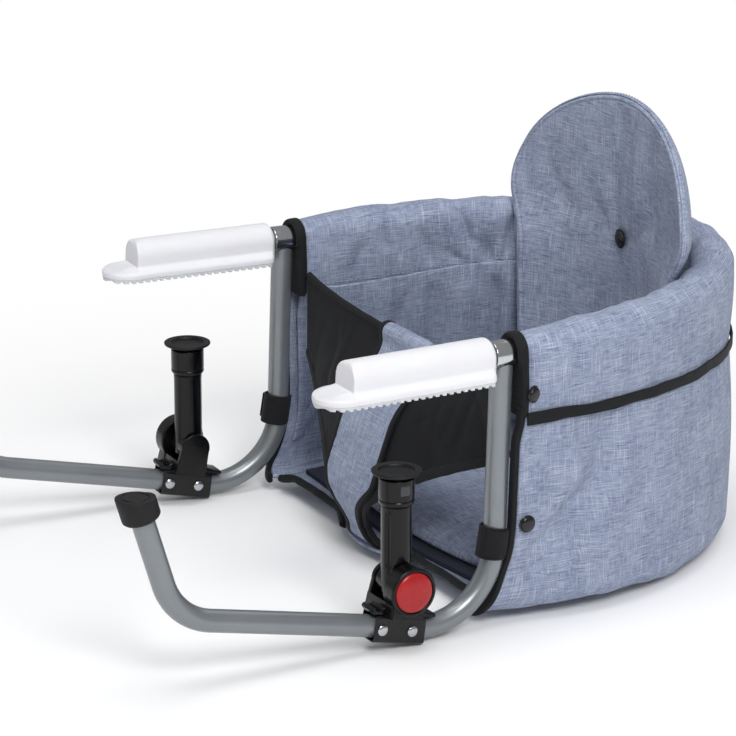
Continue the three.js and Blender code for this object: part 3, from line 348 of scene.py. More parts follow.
def pillow(middle, thickness, rim):
    """Two skins on either side of a middle surface: middle +- normal * thickness / 2 *
    rounding, so that they meet in a rounded rim."""
    cut = flat_cut(middle)
    from_start, from_end = cut[..., 0], cut[-1:, :, 0] - cut[..., 0]
    from_low, from_high = cut[..., 1], cut[:, -1:, 1] - cut[..., 1]
    edge = 1.0
    for distance in (from_start, from_end, from_low, from_high):
        edge = edge * rounding(distance / MM, rim)
    half = normals_of(middle) * (thickness / 2 * edge)[..., None]
    return [(middle + half, cut), (middle - half, cut)]


print("rows of a strip 10 mm long:", shares(3, 10.0, 1.0).round(2).tolist())

# %% [markdown]
# ## Folds and puckers
# Sewn cloth never lies quite flat. Each fold could be sculpted by hand, but a list of marks
# does the same and can be read: a mark is a soft valley with a place, a direction, a length,
# a width and a depth. Folds that the photograph shows are listed, the small ones between
# them come from a seeded draw, so that every run gives the same cloth.

# %% Folds


def creases(u, v, marks):
    """The sum of soft valleys: depth * exp(-(across / width)^2 - (along / length)^4), where
    along and across are the distances from the mark's middle, turned by its angle."""
    total = 0.0 * (u + v)
    for place_u, place_v, angle, length, width, depth in np.asarray(marks, float):
        du, dv = u - place_u, v - place_v
        along = du * math.cos(angle) + dv * math.sin(angle)
        across = dv * math.cos(angle) - du * math.sin(angle)
        total = total + depth * np.exp(-((across / width) ** 2) - (along / length) ** 4)
    return total


def scattered(seed, count, lows, highs):
    """Marks drawn evenly between a lowest and a highest mark, from a seeded generator."""
    return np.random.default_rng(seed).uniform(lows, highs, (count, 6))


def drift(x, period, seed):
    """A soft random line: the sum of three sines of falling size with seeded phases."""
    phase = np.random.default_rng(seed).uniform(0, 2 * np.pi, 3)
    waves = [
        np.sin(2 * np.pi * x / period * k + p) / k for k, p in zip((1, 1.7, 2.9), phase)
    ]
    return sum(waves) / 1.9


print("a crease 2 mm deep, 3 mm beside its middle:", creases(0.0, 3.0, [(0, 0, 0, 9, 3, -2)]).round(2))

# %% [markdown]
# ## Writing finishes as sums
# A finish varies over its surface: threads are paler or darker, paint is smoother or rougher.
# Such a pattern could be wired up by hand in the shader editor. Here a socket is wrapped in a
# small class, so that a pattern is written as a sum and Python adds the Math nodes.

# %% Values in a sum


class Val:
    """A number, colour or vector inside a finish."""

    def __init__(self, finish, socket):
        self.finish, self.socket = finish, socket

    def math(self, operation, first, second):
        return self.finish.node("ShaderNodeMath", {"operation": operation}, {0: first, 1: second})

    def __add__(self, other):
        return self.math("ADD", self, other)

    def __mul__(self, other):
        return self.math("MULTIPLY", self, other)

    def __sub__(self, other):
        return self.math("SUBTRACT", self, other)


print("a Val can stand in a sum:", all(hasattr(Val, word) for word in ("__add__", "__mul__", "__sub__")))

# %% [markdown]
# A finish holds the material and one method for each kind of node that is used below.

# %% Finishes


class Finish:
    """A material with one Principled shader. Constants are set on the shader's sockets."""

    def __init__(self, name, **constants):
        self.material = bpy.data.materials.new(name)
        self.material.use_nodes = True
        self.tree = self.material.node_tree
        self.shader = self.tree.nodes["Principled BSDF"]
        for key, value in constants.items():
            self.shader.inputs[key.replace("_", " ")].default_value = value

    def feed(self, socket, value):
        if isinstance(value, Val):
            self.tree.links.new(value.socket, socket)
        else:
            socket.default_value = value

    def node(self, kind, settings=None, sockets=None, out=0):
        """A node of that type, with its settings, then the values or links of its sockets."""
        made = self.tree.nodes.new(kind)
        for key, value in (settings or {}).items():
            setattr(made, key, value)
        for key, value in (sockets or {}).items():
            self.feed(made.inputs[key], value)
        return Val(self, made.outputs[out])

    def cut(self):
        """The place on the flat cut of the cloth, in metres."""
        return self.node("ShaderNodeUVMap", {"uv_map": "cut"})

    def place(self):
        """The place on the object, in metres."""
        return self.node("ShaderNodeTexCoord", out=3)

    def vector(self, operation, sockets, out=0):
        return self.node("ShaderNodeVectorMath", {"operation": operation}, sockets, out)

    def wandering(self, place, repeats, reach):
        """A place moved a little by soft noise, so that threads don't run dead straight."""
        sockets = {"Vector": place, "Scale": float(repeats), "Detail": 1.0}
        cloud = self.node("ShaderNodeTexNoise", {}, sockets, out=1)
        return self.vector("MULTIPLY_ADD", {0: cloud, 1: (reach, reach, 0), 2: place})

    def noise(self, place, repeats, detail=2.0, rough=0.5):
        """Noise stretched along each direction: repeats is how many times it changes in a
        metre. The middle value is one half."""
        scaled = self.vector("MULTIPLY", {0: place, 1: repeats})
        sockets = {"Vector": scaled, "Scale": 1.0, "Detail": detail, "Roughness": rough}
        return self.node("ShaderNodeTexNoise", {}, sockets)

    def wave(self, place, repeats):
        """Even ribs: a sine wave with that many repeats in a metre, from 0 to 1."""
        scaled = self.vector("MULTIPLY", {0: place, 1: repeats})
        turns = self.vector("DOT_PRODUCT", {0: scaled, 1: (1, 1, 1)}, 1) * (2 * math.pi)
        return self.node("ShaderNodeMath", {"operation": "SINE"}, {0: turns}) * 0.5 + 0.5

    def rise(self, value, low, high):
        """0 below low, 1 above high, a soft step between."""
        sockets = {"Value": value, "From Min": low, "From Max": high}
        return self.node("ShaderNodeMapRange", {"interpolation_type": "SMOOTHSTEP"}, sockets)

    def blend(self, share, first, second):
        """The first colour where the share is 0, the second where it is 1."""
        sockets = {0: share, 6: first, 7: second}
        return self.node("ShaderNodeMix", {"data_type": "RGBA"}, sockets, out=2)

    def colour(self, value):
        self.feed(self.shader.inputs["Base Color"], value)

    def roughness(self, value):
        self.feed(self.shader.inputs["Roughness"], value)

    def bump(self, height, depth, strength=1.0):
        """Raises the surface by the height times the depth in metres."""
        sockets = {"Height": height, "Distance": depth, "Strength": strength}
        self.feed(self.shader.inputs["Normal"], self.node("ShaderNodeBump", {}, sockets))


print("a finish can use:", [name for name in vars(Finish) if not name.startswith("_")])

# %% [markdown]
# A picture stores a colour on a curve that suits the eye, but light adds up on a straight
# scale. Colours are written here as they look on a screen, and turned into that scale.

# %% Colours as on a screen


def tone(red, green, blue):
    """A colour as on a screen, 0 to 255, turned into the linear values that light needs."""
    c = np.array([red, green, blue]) / 255
    linear = np.where(c <= 0.04045, c / 12.92, ((c + 0.055) / 1.055) ** 2.4)
    return (*linear.tolist(), 1.0)


print("middle grey on a screen is", round(tone(128, 128, 128)[0], 3), "of full light")

# %% [markdown]
# ## Cloth finishes
# The seat's cloth is a blue-grey chambray: a blue warp and a pale weft of uneven, slubbed
# yarn, which gives short pale dashes along the weave and fainter ones across it. It could be
# one noise, but the dashes lie along the threads, so several noises are stretched along the
# two thread directions, and the cloth's own flat cut carries them round every fold.

# %% Chambray


def chambray(name, ground, pale, shade):
    """Warp and weft dashes over a soft cloud of shade, with a plain weave as bump."""
    made = Finish(name, Sheen_Weight=0.06, Sheen_Roughness=0.5, Specular_IOR_Level=0.2)
    cut = made.wandering(made.cut(), 22, 0.0035)
    weft = made.noise(cut, (110, 1500, 1), 2.0, 0.6)
    warp = made.noise(cut, (1300, 90, 1), 2.0, 0.6)
    slubs = made.rise(made.noise(cut, (34, 1250, 2), 1.0, 0.5), 0.56, 0.70)
    dark_slubs = made.rise(made.noise(cut, (50, 1000, 6), 1.0, 0.5), 0.58, 0.74)
    lines = made.rise(made.noise(cut, (1100, 30, 3), 1.0, 0.5), 0.57, 0.71)
    cloud = made.noise(cut, (40, 26, 4), 3.0, 0.55)
    threads = (weft - 0.5) * 1.9 + (warp - 0.5) * 1.6 + (cloud - 0.5) * 0.9 + 0.5
    mixed = made.blend(made.rise(threads - dark_slubs * 0.7, -0.25, 1.1), shade, ground)
    made.colour(made.blend(slubs * 0.34 + lines * 0.30, mixed, pale))
    made.roughness(made.noise(cut, (300, 300, 5)) * 0.12 + 0.80)
    weave = made.wave(cut, (1400, 0, 0)) * made.wave(cut, (0, 1400, 0))
    made.bump(weave * 0.4 + weft * 0.8 + warp * 0.6 + slubs * 0.4, 0.0003, 0.5)
    return made.material


blue_cloth = chambray("chambray", tone(158, 167, 188), tone(210, 214, 226), tone(101, 112, 139))
yarn = Finish("sewing thread", Sheen_Weight=0.1, Roughness=0.7)
twist = yarn.noise(yarn.place(), (900, 900, 900))
yarn.colour(yarn.blend(twist, tone(136, 145, 168), tone(180, 188, 204)))
sewing_thread = yarn.material
print("cloth:", blue_cloth.name, "with", len(blue_cloth.node_tree.nodes), "shader nodes")

# %% [markdown]
# The bindings, the hem tape and the straps are black polyester. Binding tape has fine ribs
# across its width, and the sides of the belly panel are a smooth black cloth. Both are dark
# grey rather than black, because real dyed cloth still returns a little light.

# %% Black tape and black cloth


def ribbed(name, dark, light, ribs, depth):
    """Even ribs and a soft fuzz, both between a dark and a lighter tone and raised alike."""
    made = Finish(name, Sheen_Weight=0.03, Sheen_Roughness=0.5, Specular_IOR_Level=0.2)
    cut = made.cut()
    rib = made.wave(cut, ribs)
    fuzz = made.noise(cut, (260, 260, 1), 3.0, 0.6)
    made.colour(made.blend(rib * 0.35 + fuzz * 0.65, dark, light))
    made.roughness(fuzz * 0.2 + 0.62)
    made.bump(rib + fuzz * 0.4, depth, 0.6)
    return made.material


black_tape = ribbed("binding tape", tone(12, 12, 14), tone(30, 31, 34), (900, 0, 0), 0.0002)
black_cloth = ribbed("belly cloth", tone(12, 12, 15), tone(27, 28, 32), (600, 600, 0), 0.00015)
hook_loop = ribbed("hook and loop", tone(10, 10, 12), tone(34, 34, 37), (500, 420, 0), 0.0006)
print("black cloths:", [made.name for made in (black_tape, black_cloth, hook_loop)])

# %% [markdown]
# ## Hard finishes
# The tubes have a silver-grey paint with fine flakes, the sleeve on the upper arm is polished
# steel, and the clamp is black moulded plastic on a black painted bracket. Each has its own
# grain: flakes in the paint, fine lines round the polish, a faint orange peel on the plastic.

# %% Paint and steel


def grained(name, dark, light, rough, grain, depth, patches=(9, 9, 9), **constants):
    """A hard finish: its colour moves softly between two tones in large patches and fine
    grain, its roughness round a middle value, and the grain is raised by the depth."""
    made = Finish(name, **constants)
    place = made.place()
    fine = made.noise(place, grain, 2.0, 0.6)
    patch = made.noise(place, patches, 3.0, 0.55)
    made.colour(made.blend(patch * 0.6 + fine * 0.4, dark, light))
    made.roughness((patch - 0.5) * (rough * 0.5) + (fine - 0.5) * (rough * 0.4) + rough)
    made.bump(fine, depth, 0.5)
    return made.material


silver_paint = grained(
    "silver paint", tone(114, 119, 123), tone(146, 150, 153), 0.34, (2600,) * 3, 0.00003,
    (14, 14, 14), Metallic=0.55, Coat_Weight=0.15, Coat_Roughness=0.2,
)
polished_steel = grained(
    "polished steel", tone(176, 178, 180), tone(214, 215, 216), 0.16, (60, 2400, 60), 0.00001,
    Metallic=1.0,
)
zinc_steel = grained(
    "zinc plate", tone(168, 171, 174), tone(208, 210, 212), 0.24, (1500,) * 3, 0.00002,
    (120, 120, 120), Metallic=1.0,
)
print("metals:", [made.name for made in (silver_paint, polished_steel, zinc_steel)])

# %% [markdown]
# The grips are milky rubber that lets a little light in, so it gets some scattering below its
# surface. Plastic differs mostly in its gloss: the column and the nut shine, the dish is matt.

# %% Rubber, plastic and board
milky_rubber = grained(
    "milky rubber", tone(216, 216, 220), tone(230, 230, 233), 0.42, (1800,) * 3, 0.00003,
    (20, 20, 20), Subsurface_Weight=0.2, Subsurface_Scale=0.004,
)
sole_rubber = grained(
    "sole rubber", tone(188, 190, 193), tone(214, 215, 217), 0.6, (1500,) * 3, 0.00004,
    (60, 60, 60),
)
black_rubber = grained(
    "black rubber", tone(14, 14, 15), tone(28, 28, 30), 0.6, (1600,) * 3, 0.00005, (70,) * 3,
    Specular_IOR_Level=0.3,
)
black_steel = grained(
    "black painted steel", tone(5, 5, 6), tone(14, 14, 16), 0.3, (1400,) * 3, 0.00003,
    (60, 60, 60), Specular_IOR_Level=0.4,
)
black_plastic = grained(
    "moulded black plastic", tone(3, 3, 4), tone(9, 9, 10), 0.27, (2200,) * 3, 0.00002,
    (50, 50, 50), Specular_IOR_Level=0.3,
)
matt_plastic = grained(
    "matt black plastic", tone(12, 12, 13), tone(22, 22, 24), 0.5, (1800,) * 3, 0.00004,
    (50, 50, 50), Specular_IOR_Level=0.35,
)
gloss_plastic = grained(
    "glossy black plastic", tone(3, 3, 4), tone(8, 8, 9), 0.2, (900,) * 3, 0.00001,
    (50, 50, 50), Specular_IOR_Level=0.32,
)
window_plastic = grained(
    "grey window", tone(44, 45, 48), tone(60, 61, 64), 0.3, (1800,) * 3, 0.00002
)
red_plastic = grained(
    "red button plastic", tone(146, 20, 24), tone(172, 28, 32), 0.26, (1500,) * 3, 0.00001,
    (90, 90, 90), Specular_IOR_Level=0.4,
)
snap_plastic = grained(
    "snap cap", tone(8, 8, 11), tone(20, 21, 25), 0.24, (1500,) * 3, 0.00002, (90, 90, 90)
)
fibre_board = grained(
    "fibre board", tone(92, 76, 58), tone(132, 112, 88), 0.8, (400, 60, 400), 0.0002
)
board_sleeve = grained(
    "board sleeve", tone(30, 34, 46), tone(50, 56, 72), 0.8, (900, 900, 900), 0.0002
)
print("finishes:", len(bpy.data.materials))

# %% [markdown]
# ## The studio
# The seat stands free on white. The floor is pale near the seat, where it takes the shadows,
# and further out it gives way to a plain white for the camera alone. A painted backdrop would
# need a seam somewhere, and this needs none.

# %% Floor
floor_height = cad_box[0].z / MM - 1
floor_reach = 6000.0
side_shares = np.linspace(-floor_reach, floor_reach, 3)
floor = build(
    "studio_floor", [points_of(side_shares[:, None], side_shares[None, :], floor_height)]
)
floor_finish = Finish("floor", Roughness=0.9, Specular_IOR_Level=0.1)
floor_place = floor_finish.place()
cloudy = floor_finish.noise(floor_place, (3, 3, 3))
floor_finish.colour(floor_finish.blend(cloudy, tone(246, 246, 247), tone(250, 250, 250)))
far = floor_finish.vector("LENGTH", {0: floor_place}, 1)
seen = floor_finish.node("ShaderNodeLightPath", out=0)
white = floor_finish.node("ShaderNodeEmission", {}, {"Color": (1, 1, 1, 1), "Strength": 1.0})
lit = Val(floor_finish, floor_finish.shader.outputs[0])
away = floor_finish.rise(far, 0.25, 0.9) * seen
surface = floor_finish.node("ShaderNodeMixShader", {}, {0: away, 1: lit, 2: white})
output = floor_finish.tree.nodes["Material Output"]
floor_finish.feed(output.inputs["Surface"], surface)
floor.data.materials.append(floor_finish.material)
floor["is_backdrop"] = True
print("floor at", round(floor_height, 1), "mm")

# %% [markdown]
# The surroundings are white to the camera, and only a soft grey as light and in reflections,
# so that glossy plastic stays black.

# %% Surroundings
AMBIENT = 0.35  # the strength of the surroundings as a light
world = bpy.data.worlds.new("studio")
scene.world = world
world.use_nodes = True
sky = world.node_tree
sky.nodes.clear()
rays = sky.nodes.new("ShaderNodeLightPath")
seen_white = sky.nodes.new("ShaderNodeMath")
seen_white.operation = "MAXIMUM"
soft, bright = sky.nodes.new("ShaderNodeBackground"), sky.nodes.new("ShaderNodeBackground")
soft.inputs["Color"].default_value = (0.96, 0.975, 1.0, 1)
soft.inputs["Strength"].default_value = AMBIENT
bright.inputs["Color"].default_value = (1, 1, 1, 1)
bright.inputs["Strength"].default_value = 1.0
both = sky.nodes.new("ShaderNodeMixShader")
world_out = sky.nodes.new("ShaderNodeOutputWorld")
for start, end in (
    (rays.outputs["Is Camera Ray"], seen_white.inputs[0]),
    (rays.outputs["Is Transmission Ray"], seen_white.inputs[1]),
    (seen_white.outputs[0], both.inputs[0]),
    (soft.outputs[0], both.inputs[1]),
    (bright.outputs[0], both.inputs[2]),
    (both.outputs[0], world_out.inputs[0]),
):
    sky.links.new(start, end)
print("surroundings:", len(sky.nodes), "shader nodes")

# %% [markdown]
# A large soft lamp stands on the seat's left, where the photograph has it, a softer one above,
# and two weak ones in front and behind lift the shadows. Area lamps give soft edges to them.

# %% Lamps


def lamp(name, azimuth, elevation, distance, size, power):
    """A square soft lamp that looks at the seat, placed by its direction round it."""
    a, e = math.radians(azimuth), math.radians(elevation)
    out = np.array([math.sin(a) * math.cos(e), -math.cos(a) * math.cos(e), math.sin(e)])
    side = unit(np.cross([0, 0, 1], out))
    data = bpy.data.lights.new(name, "AREA")
    data.energy, data.size = power, size
    made = bpy.data.objects.new(name, data)
    turn = Matrix(np.array([side, np.cross(out, side), out]).T.tolist()).to_4x4()
    made.matrix_world = Matrix.Translation((out * distance + [0, 0.1, -0.05]).tolist()) @ turn
    scene.collection.objects.link(made)


lamp("key_lamp", 76, 38, 3.2, 1.1, 56)
lamp("top_lamp", 30, 78, 3.2, 1.8, 44)
lamp("left_lamp", -40, 30, 3.4, 2.0, 3)
lamp("back_lamp", 200, 35, 3.4, 2.0, 12)
print("lamps:", len(bpy.data.lights))

# %% [markdown]
# ## Where things are
# The frame of one side is drawn with x outwards from the arm's centre line, and the clamp
# with y along the sloping run of the lower arm. Two small functions put such drawings in
# place, the same way on both sides, the right one mirrored. Blender's mirror modifier would
# do as much for one object, but the sides are separate pieces that move on their own.

# %% From a side's drawing to the seat
ARM_HALF = 190.0  # from the middle to an arm's centre line
ARM_HEIGHT = 18.0
RING_FRONT, RING_CURVE, RING_DEPTH = 36.0, 60.0, 254.0
SPLAY, RUN_SLOPE = math.radians(2.2), math.radians(12.5)
HUB = (-4.0, -63.7, -154.0)  # the middle of the clamp's hinge
HUB_RISE = 34.604  # its height over the run's centre line, square to it
SIDES = {"left": 1, "right": -1}


def beside(points, side):
    """Turned outwards by the splay about the arm's rear end, moved out to the arm, and
    mirrored for the right side."""
    splayed = rotated(points - [0, RING_FRONT, 0], SPLAY, "z")
    return (splayed + [ARM_HALF, RING_FRONT, 0]) * [side, 1, 1]


def on_run(points):
    """Turned down by the run's slope about the point under the hinge, and moved there."""
    return rotated(points - [0, 0, HUB_RISE], -RUN_SLOPE, "x") + [0, HUB[1], HUB[2]]


print("the clamp's hinge is", round(-HUB[2]), "mm under the table's top")

# %% [markdown]
# Moulded pieces are often a flat outline with a thickness and soft edges. The bevel modifier
# could round them. A stack of outlines that shrink a little towards both faces does the same
# and keeps the number of faces in hand.

# %% Outlines with a thickness


def extruded(outline, levels):
    """A closed outline in y and z, drawn anticlockwise, carried through levels of [inset, x].
    It is moved inwards by the inset, which rounds the edges, and closed by two flat plates."""
    run = unit(np.roll(outline, -1, 0) - np.roll(outline, 1, 0))
    inward = np.stack([-run[:, 1], run[:, 0]], -1)
    grid = np.stack([points_of(x, *(outline + inward * inset).T) for inset, x in levels])
    return np.concatenate([grid, grid[:, :1]], 1), [grid[0], grid[-1]]


def soft_edges(low, high, radius):
    """Levels for a thickness from low to high with edges rounded by the radius."""
    a = np.linspace(0, np.pi / 2, 4)
    inset, step = radius * (1 - np.sin(a)), radius * (1 - np.cos(a))
    start = np.stack([inset, low + step], -1)
    end = np.stack([inset[::-1], high - step[::-1]], -1)
    return np.concatenate([start, end])


def dress(piece, body, finish, slot, *nodes):
    """The piece gets its finish, moves with a body of the frame and stands for its nodes."""
    piece.data.materials.append(finish)
    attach(piece, body)
    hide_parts(*nodes)
    return piece


def carried(grids, place):
    """Grids with their flat cuts, all moved by the same function."""
    return [(place(points), cut) for points, cut in grids]


print("soft edges of a plate 4 mm thick:", soft_edges(0.0, 4.0, 1.0).round(2).tolist())

# %% [markdown]
# ## The tubes
# The frame is bent from steel tube 18 mm thick. The upper tube is one piece from arm to arm,
# and its rear is half an ellipse. A curve could be drawn through a few points by eye. Here
# the ellipse is a formula of the share of the way round, because the rail, the walls and the
# linings all have to follow the same ring.

# %% Upper frame
TUBE = 9.0  # radius
ARM_END = -106.0  # inside the grip pad
SWEEP_LENGTH = math.pi * (ARM_HALF + RING_DEPTH) / 2
RING_LENGTH = 2 * (RING_CURVE - RING_FRONT) + SWEEP_LENGTH
LEAD_SHARE = (RING_CURVE - RING_FRONT) / RING_LENGTH


def ring_plan(along, offset, front_y=RING_FRONT):
    """x and y at a share of the ring's length: two straight lengths and half an ellipse
    between them, moved outwards by the offset."""
    along, offset, front_y = np.broadcast_arrays(along, np.asarray(offset, float), front_y)
    from_end = np.minimum(along, 1 - along)
    angle = np.pi * np.clip(from_end - LEAD_SHARE, 0, 1) / (1 - 2 * LEAD_SHARE)
    slope = unit(np.stack([np.cos(angle) / ARM_HALF, np.sin(angle) / RING_DEPTH], -1))
    x = ARM_HALF * np.cos(angle) + offset * slope[..., 0]
    y = RING_CURVE + RING_DEPTH * np.sin(angle) + offset * slope[..., 1]
    lead = from_end < LEAD_SHARE
    y = np.where(lead, mix(front_y, RING_CURVE, from_end / LEAD_SHARE), y)
    return np.where(along <= 0.5, x, -x), y


def ring_height(along):
    """The ring climbs to the rear by two degrees."""
    y = ring_plan(along, 0)[1]
    return ARM_HEIGHT + math.tan(math.radians(2)) * np.maximum(y - RING_CURVE, 0)


along = np.linspace(0, 1, 260)
ring_line = points_of(*ring_plan(along, 0), ring_height(along))
arm_end = beside(np.array([[0.0, ARM_END, ARM_HEIGHT]]), 1)
frame_line = np.concatenate([arm_end, ring_line, arm_end * [-1, 1, 1]])
upper_frame = build("upper_frame", [ended(sweep(frame_line, circle(TUBE)))])
dress(upper_frame, "seat", silver_paint, "silver_paint", "upper_frame_tube")
print("ring:", round(RING_LENGTH), "mm of tube from arm to arm")

# %% [markdown]
# A straight length of tube is pushed round a die, so the lower arm's bends are true arcs. It is
# coped at the top, cut hollow like a saddle, where it is welded to its sleeve.

# %% Lower arms
FOOT_TIP = np.array([0, -286.48, -51.0])
LOWER_ARM_PLACE = 27.1  # where the lower arm's upright meets the upper arm
SADDLE, SADDLE_LEAN = 11.3, math.radians(1.8)  # radius of the sleeve that it is coped round


def bent(corners, radii, steps=24):
    """A tube's centre line: straight lengths joined by arcs of a true radius. An arc's points
    are start * sin((1-t) angle) / sin(angle) + end * sin(t angle) / sin(angle), seen from
    its centre."""
    p = np.asarray(corners, float)
    route = [p[:1]]
    for before, here, after, radius in zip(p, p[1:], p[2:], radii):
        into, away = unit(here - before), unit(after - here)
        angle = math.acos(float(into @ away))
        centre = here + unit(away - into) * radius / math.cos(angle / 2)
        reach = radius * math.tan(angle / 2)
        first, last = here - into * reach - centre, here + away * reach - centre
        t = np.linspace(0, 1, steps)[:, None]
        arc = np.sin((1 - t) * angle) * first + np.sin(t * angle) * last
        route.append(centre + arc / math.sin(angle))
    return np.concatenate([*route, p[-1:]])


arm_corners = [(0, LOWER_ARM_PLACE, ARM_HEIGHT), (0, 20, -208), (0, -257.27, -146.53), FOOT_TIP]
lower_arm_line = bent(arm_corners, (60, 52))
for name, side in SIDES.items():
    tube = sweep(lower_arm_line, circle(TUBE), up=(1, 0, 0))
    top = tube[0]
    saddle = []
    for share in (0, 0.35, 0.7, 1):
        x = top[:, 0] * share
        z = ARM_HEIGHT - np.sqrt(SADDLE**2 - x**2)
        y = mix(LOWER_ARM_PLACE, top[:, 1], share) - (ARM_HEIGHT - z) * math.tan(SADDLE_LEAN)
        saddle.append(points_of(x, y, z))
    tube = ended(np.concatenate([np.stack(saddle), tube[1:]]))[1:]
    lower_arm = build(f"{name}_lower_arm", [beside(tube, side)])
    dress(
        lower_arm, f"lower_arm_body_{name}", silver_paint, "silver_paint", f"lower_arm_{name}"
    )
print("lower arm:", round(float(lengths_along(lower_arm_line)[-1])), "mm of tube")

# %% [markdown]
# The pivot sleeve is a short turned and polished tube. The foot cap is moulded rubber, cut
# level at its top, so that it stands square under the table.

# %% Pivot sleeves and foot caps
sleeve_profile = eased(
    [[9.3, 0], [9.3, -9.3], [11, -9.3], [11, 9.3], [9.3, 9.3], [9.3, 0]], 0.7, 4
)
FOOT_LEAN, FOOT_RISE = math.radians(17), 6  # how far the cap's top stands over the tip
cap_rings = eased([[9.3, -4], [9.3, -12], [13.4, -12], [15, -10.2], [15, 2]], 0.8, 4)
for name, side in SIDES.items():
    body = f"lower_arm_body_{name}"
    sleeve = turned(sleeve_profile, "y", 72, (0, 26.5, ARM_HEIGHT))
    sleeve = build(f"{name}_pivot_sleeve", [beside(sleeve, side)])
    dress(sleeve, body, polished_steel, "polished_steel", f"pivot_sleeve_{name}")
    angle = np.linspace(0, 2 * np.pi, 65)
    rings = [(r, t + 0 * angle) for r, t in cap_rings]
    for r, drop in ((15, 1.4), (14.6, 0.4), (13.7, 0), (11, 0), (10.6, 0.7), (9.4, 0.7), (9, 0), (0, 0)):
        tilt = r * np.sin(angle) * math.sin(FOOT_LEAN)
        rings.append((r, (FOOT_RISE - drop - tilt) / math.cos(FOOT_LEAN)))
    cap = np.stack([points_of(r * np.cos(angle), r * np.sin(angle), t) for r, t in rings])
    cap = rotated(cap, FOOT_LEAN, "x") + FOOT_TIP
    cap = np.concatenate([np.broadcast_to(FOOT_TIP - [0, 0, 3], cap[:1].shape), cap])
    cap = build(f"{name}_foot_cap", [beside(cap, side)])
    dress(cap, body, black_rubber, "black_rubber", f"foot_cap_{name}")
print("foot caps end at", round(float(FOOT_TIP[2] + FOOT_RISE), 1), "mm")

# %% [markdown]
# ## Grip pads and soles
# Each arm rests on the table in a pad of milky rubber: a half round sleeve on a wide flange
# with a rounded tip, and a flat slanted nose. It could be carved, but it is one moulding, so
# it is made as one grid of sections: every section is the same outline from the flange's
# edge over the crown, pressed down to the nose's slant where the pad ends.
# The sole is a separate ribbed strip of harder grey rubber that grips the table.

# %% The pad's outline and rows
FLANGE, TIP_MIDDLE = 22.0, -115.0  # half the width, and the middle of the round tip
PAD_TIP = TIP_MIDDLE - FLANGE
FLANGE_REAR, REAR_CORNER = 12.0, 6.0
NOSE, LEDGE = -112.5, 11.8  # where the nose stands up, and the flange's height at the body
RIM = 3.4


def soft_min(a, b, ease):
    """The smaller of two values, with the corner between them rounded by the ease."""
    return (a + b - np.sqrt((a - b) ** 2 + ease**2)) / 2


def flange_half(y, inset=0.0):
    """Half the flange's width: round at the tip, straight, with rounded rear corners."""
    half = FLANGE - inset
    tip = np.sqrt(np.clip(half**2 - np.minimum(y - TIP_MIDDLE, 0) ** 2, 0, None))
    past = np.clip(y - FLANGE_REAR + REAR_CORNER + inset, 0, REAR_CORNER)
    rear = half - REAR_CORNER + np.sqrt(REAR_CORNER**2 - past**2)
    return np.minimum(tip, rear)


tip_angle = np.linspace(0, np.pi / 2, 16)
tip_rows = TIP_MIDDLE - FLANGE * np.cos(tip_angle[:-1])
rear_angle = np.linspace(0, np.pi / 2, 7)
pad_rows = np.concatenate(
    [
        tip_rows[tip_rows < -131],
        np.linspace(-131, NOSE - 1, 16),
        np.linspace(NOSE - 0.8, NOSE + 5, 30),
        np.linspace(-105, 5, 40),
        6 + 6 * np.sin(rear_angle[1:-1]),
        [12, 12.05],
        10.5 + 4.5 * np.sin(np.linspace(0.45, np.pi / 2, 7)),
    ]
)
rear_inset = 4.5 * (1 - np.sqrt(1 - np.clip((pad_rows - 10.5) / 4.5, 0, 1) ** 2))
nose_inset = RIM * (1 - rounding(pad_rows - NOSE + 0.3, RIM))
tongue = mix(8.4, LEDGE, smooth((pad_rows + 134) / 18))
nose_line = eased([[NOSE, 0], [NOSE + 1.6, 30.6], [NOSE + 6, 33.2], [20, 34.5]], [0, RIM, 3, 0], 8)
nose = np.maximum(np.interp(pad_rows, *nose_line.T), tongue)
tip_round = rounding(pad_rows - PAD_TIP + 0.4, RIM)
nose = mix(5.2, nose, tip_round)
wide = np.where(pad_rows > FLANGE_REAR, 0, flange_half(pad_rows))
ridge = 15 - rear_inset - nose_inset
ridge = np.minimum(ridge, np.maximum(wide - 5.5, np.where(pad_rows < -124, 0, ridge)))
ridge = np.maximum(ridge, 0.3)
wide = np.maximum(wide, ridge + 0.02)
brim = mix(4.2, 8.2, tip_round)
print("grip pad:", len(pad_rows), "rows from", round(PAD_TIP), "to", round(pad_rows[-1]), "mm")

# %% [markdown]
# Each row of the pad is half a section and its mirror image. The sole under it is a plain
# strip whose teeth are cut square across, so a row at each corner of a tooth is enough.

# %% Pads and soles


PAD_FLOOR, BORE = 3.5, 9.3
TEETH, PITCH, TOOTH_DEPTH, SOLE_TOP = 24, 6.25, 1.6, 3.2


def pad_half(ridge, wide, brim, tongue, nose):
    """One half of a pad's section: under the flange, round its brim, up its slope to the
    body and over the crown, all kept below the nose. PAD_FLOOR is its underside."""
    slope = eased(
        [[wide, PAD_FLOOR], [wide, brim], [ridge, min(tongue, LEDGE)], [ridge, ARM_HEIGHT]],
        [0, min(2.4, wide - ridge), 1.6, 0],
        7,
    )
    arc = np.linspace(0, np.pi / 2, 22)[1:]
    crown = np.stack([ridge * np.cos(arc), ARM_HEIGHT + ridge * np.sin(arc)], -1)
    half = np.concatenate([[[0, PAD_FLOOR]], slope, crown])
    low = half[:, 1] < PAD_FLOOR + 0.1
    half[:, 1] = np.where(low, half[:, 1], np.maximum(soft_min(half[:, 1], nose, 0.6), 3.9))
    return half


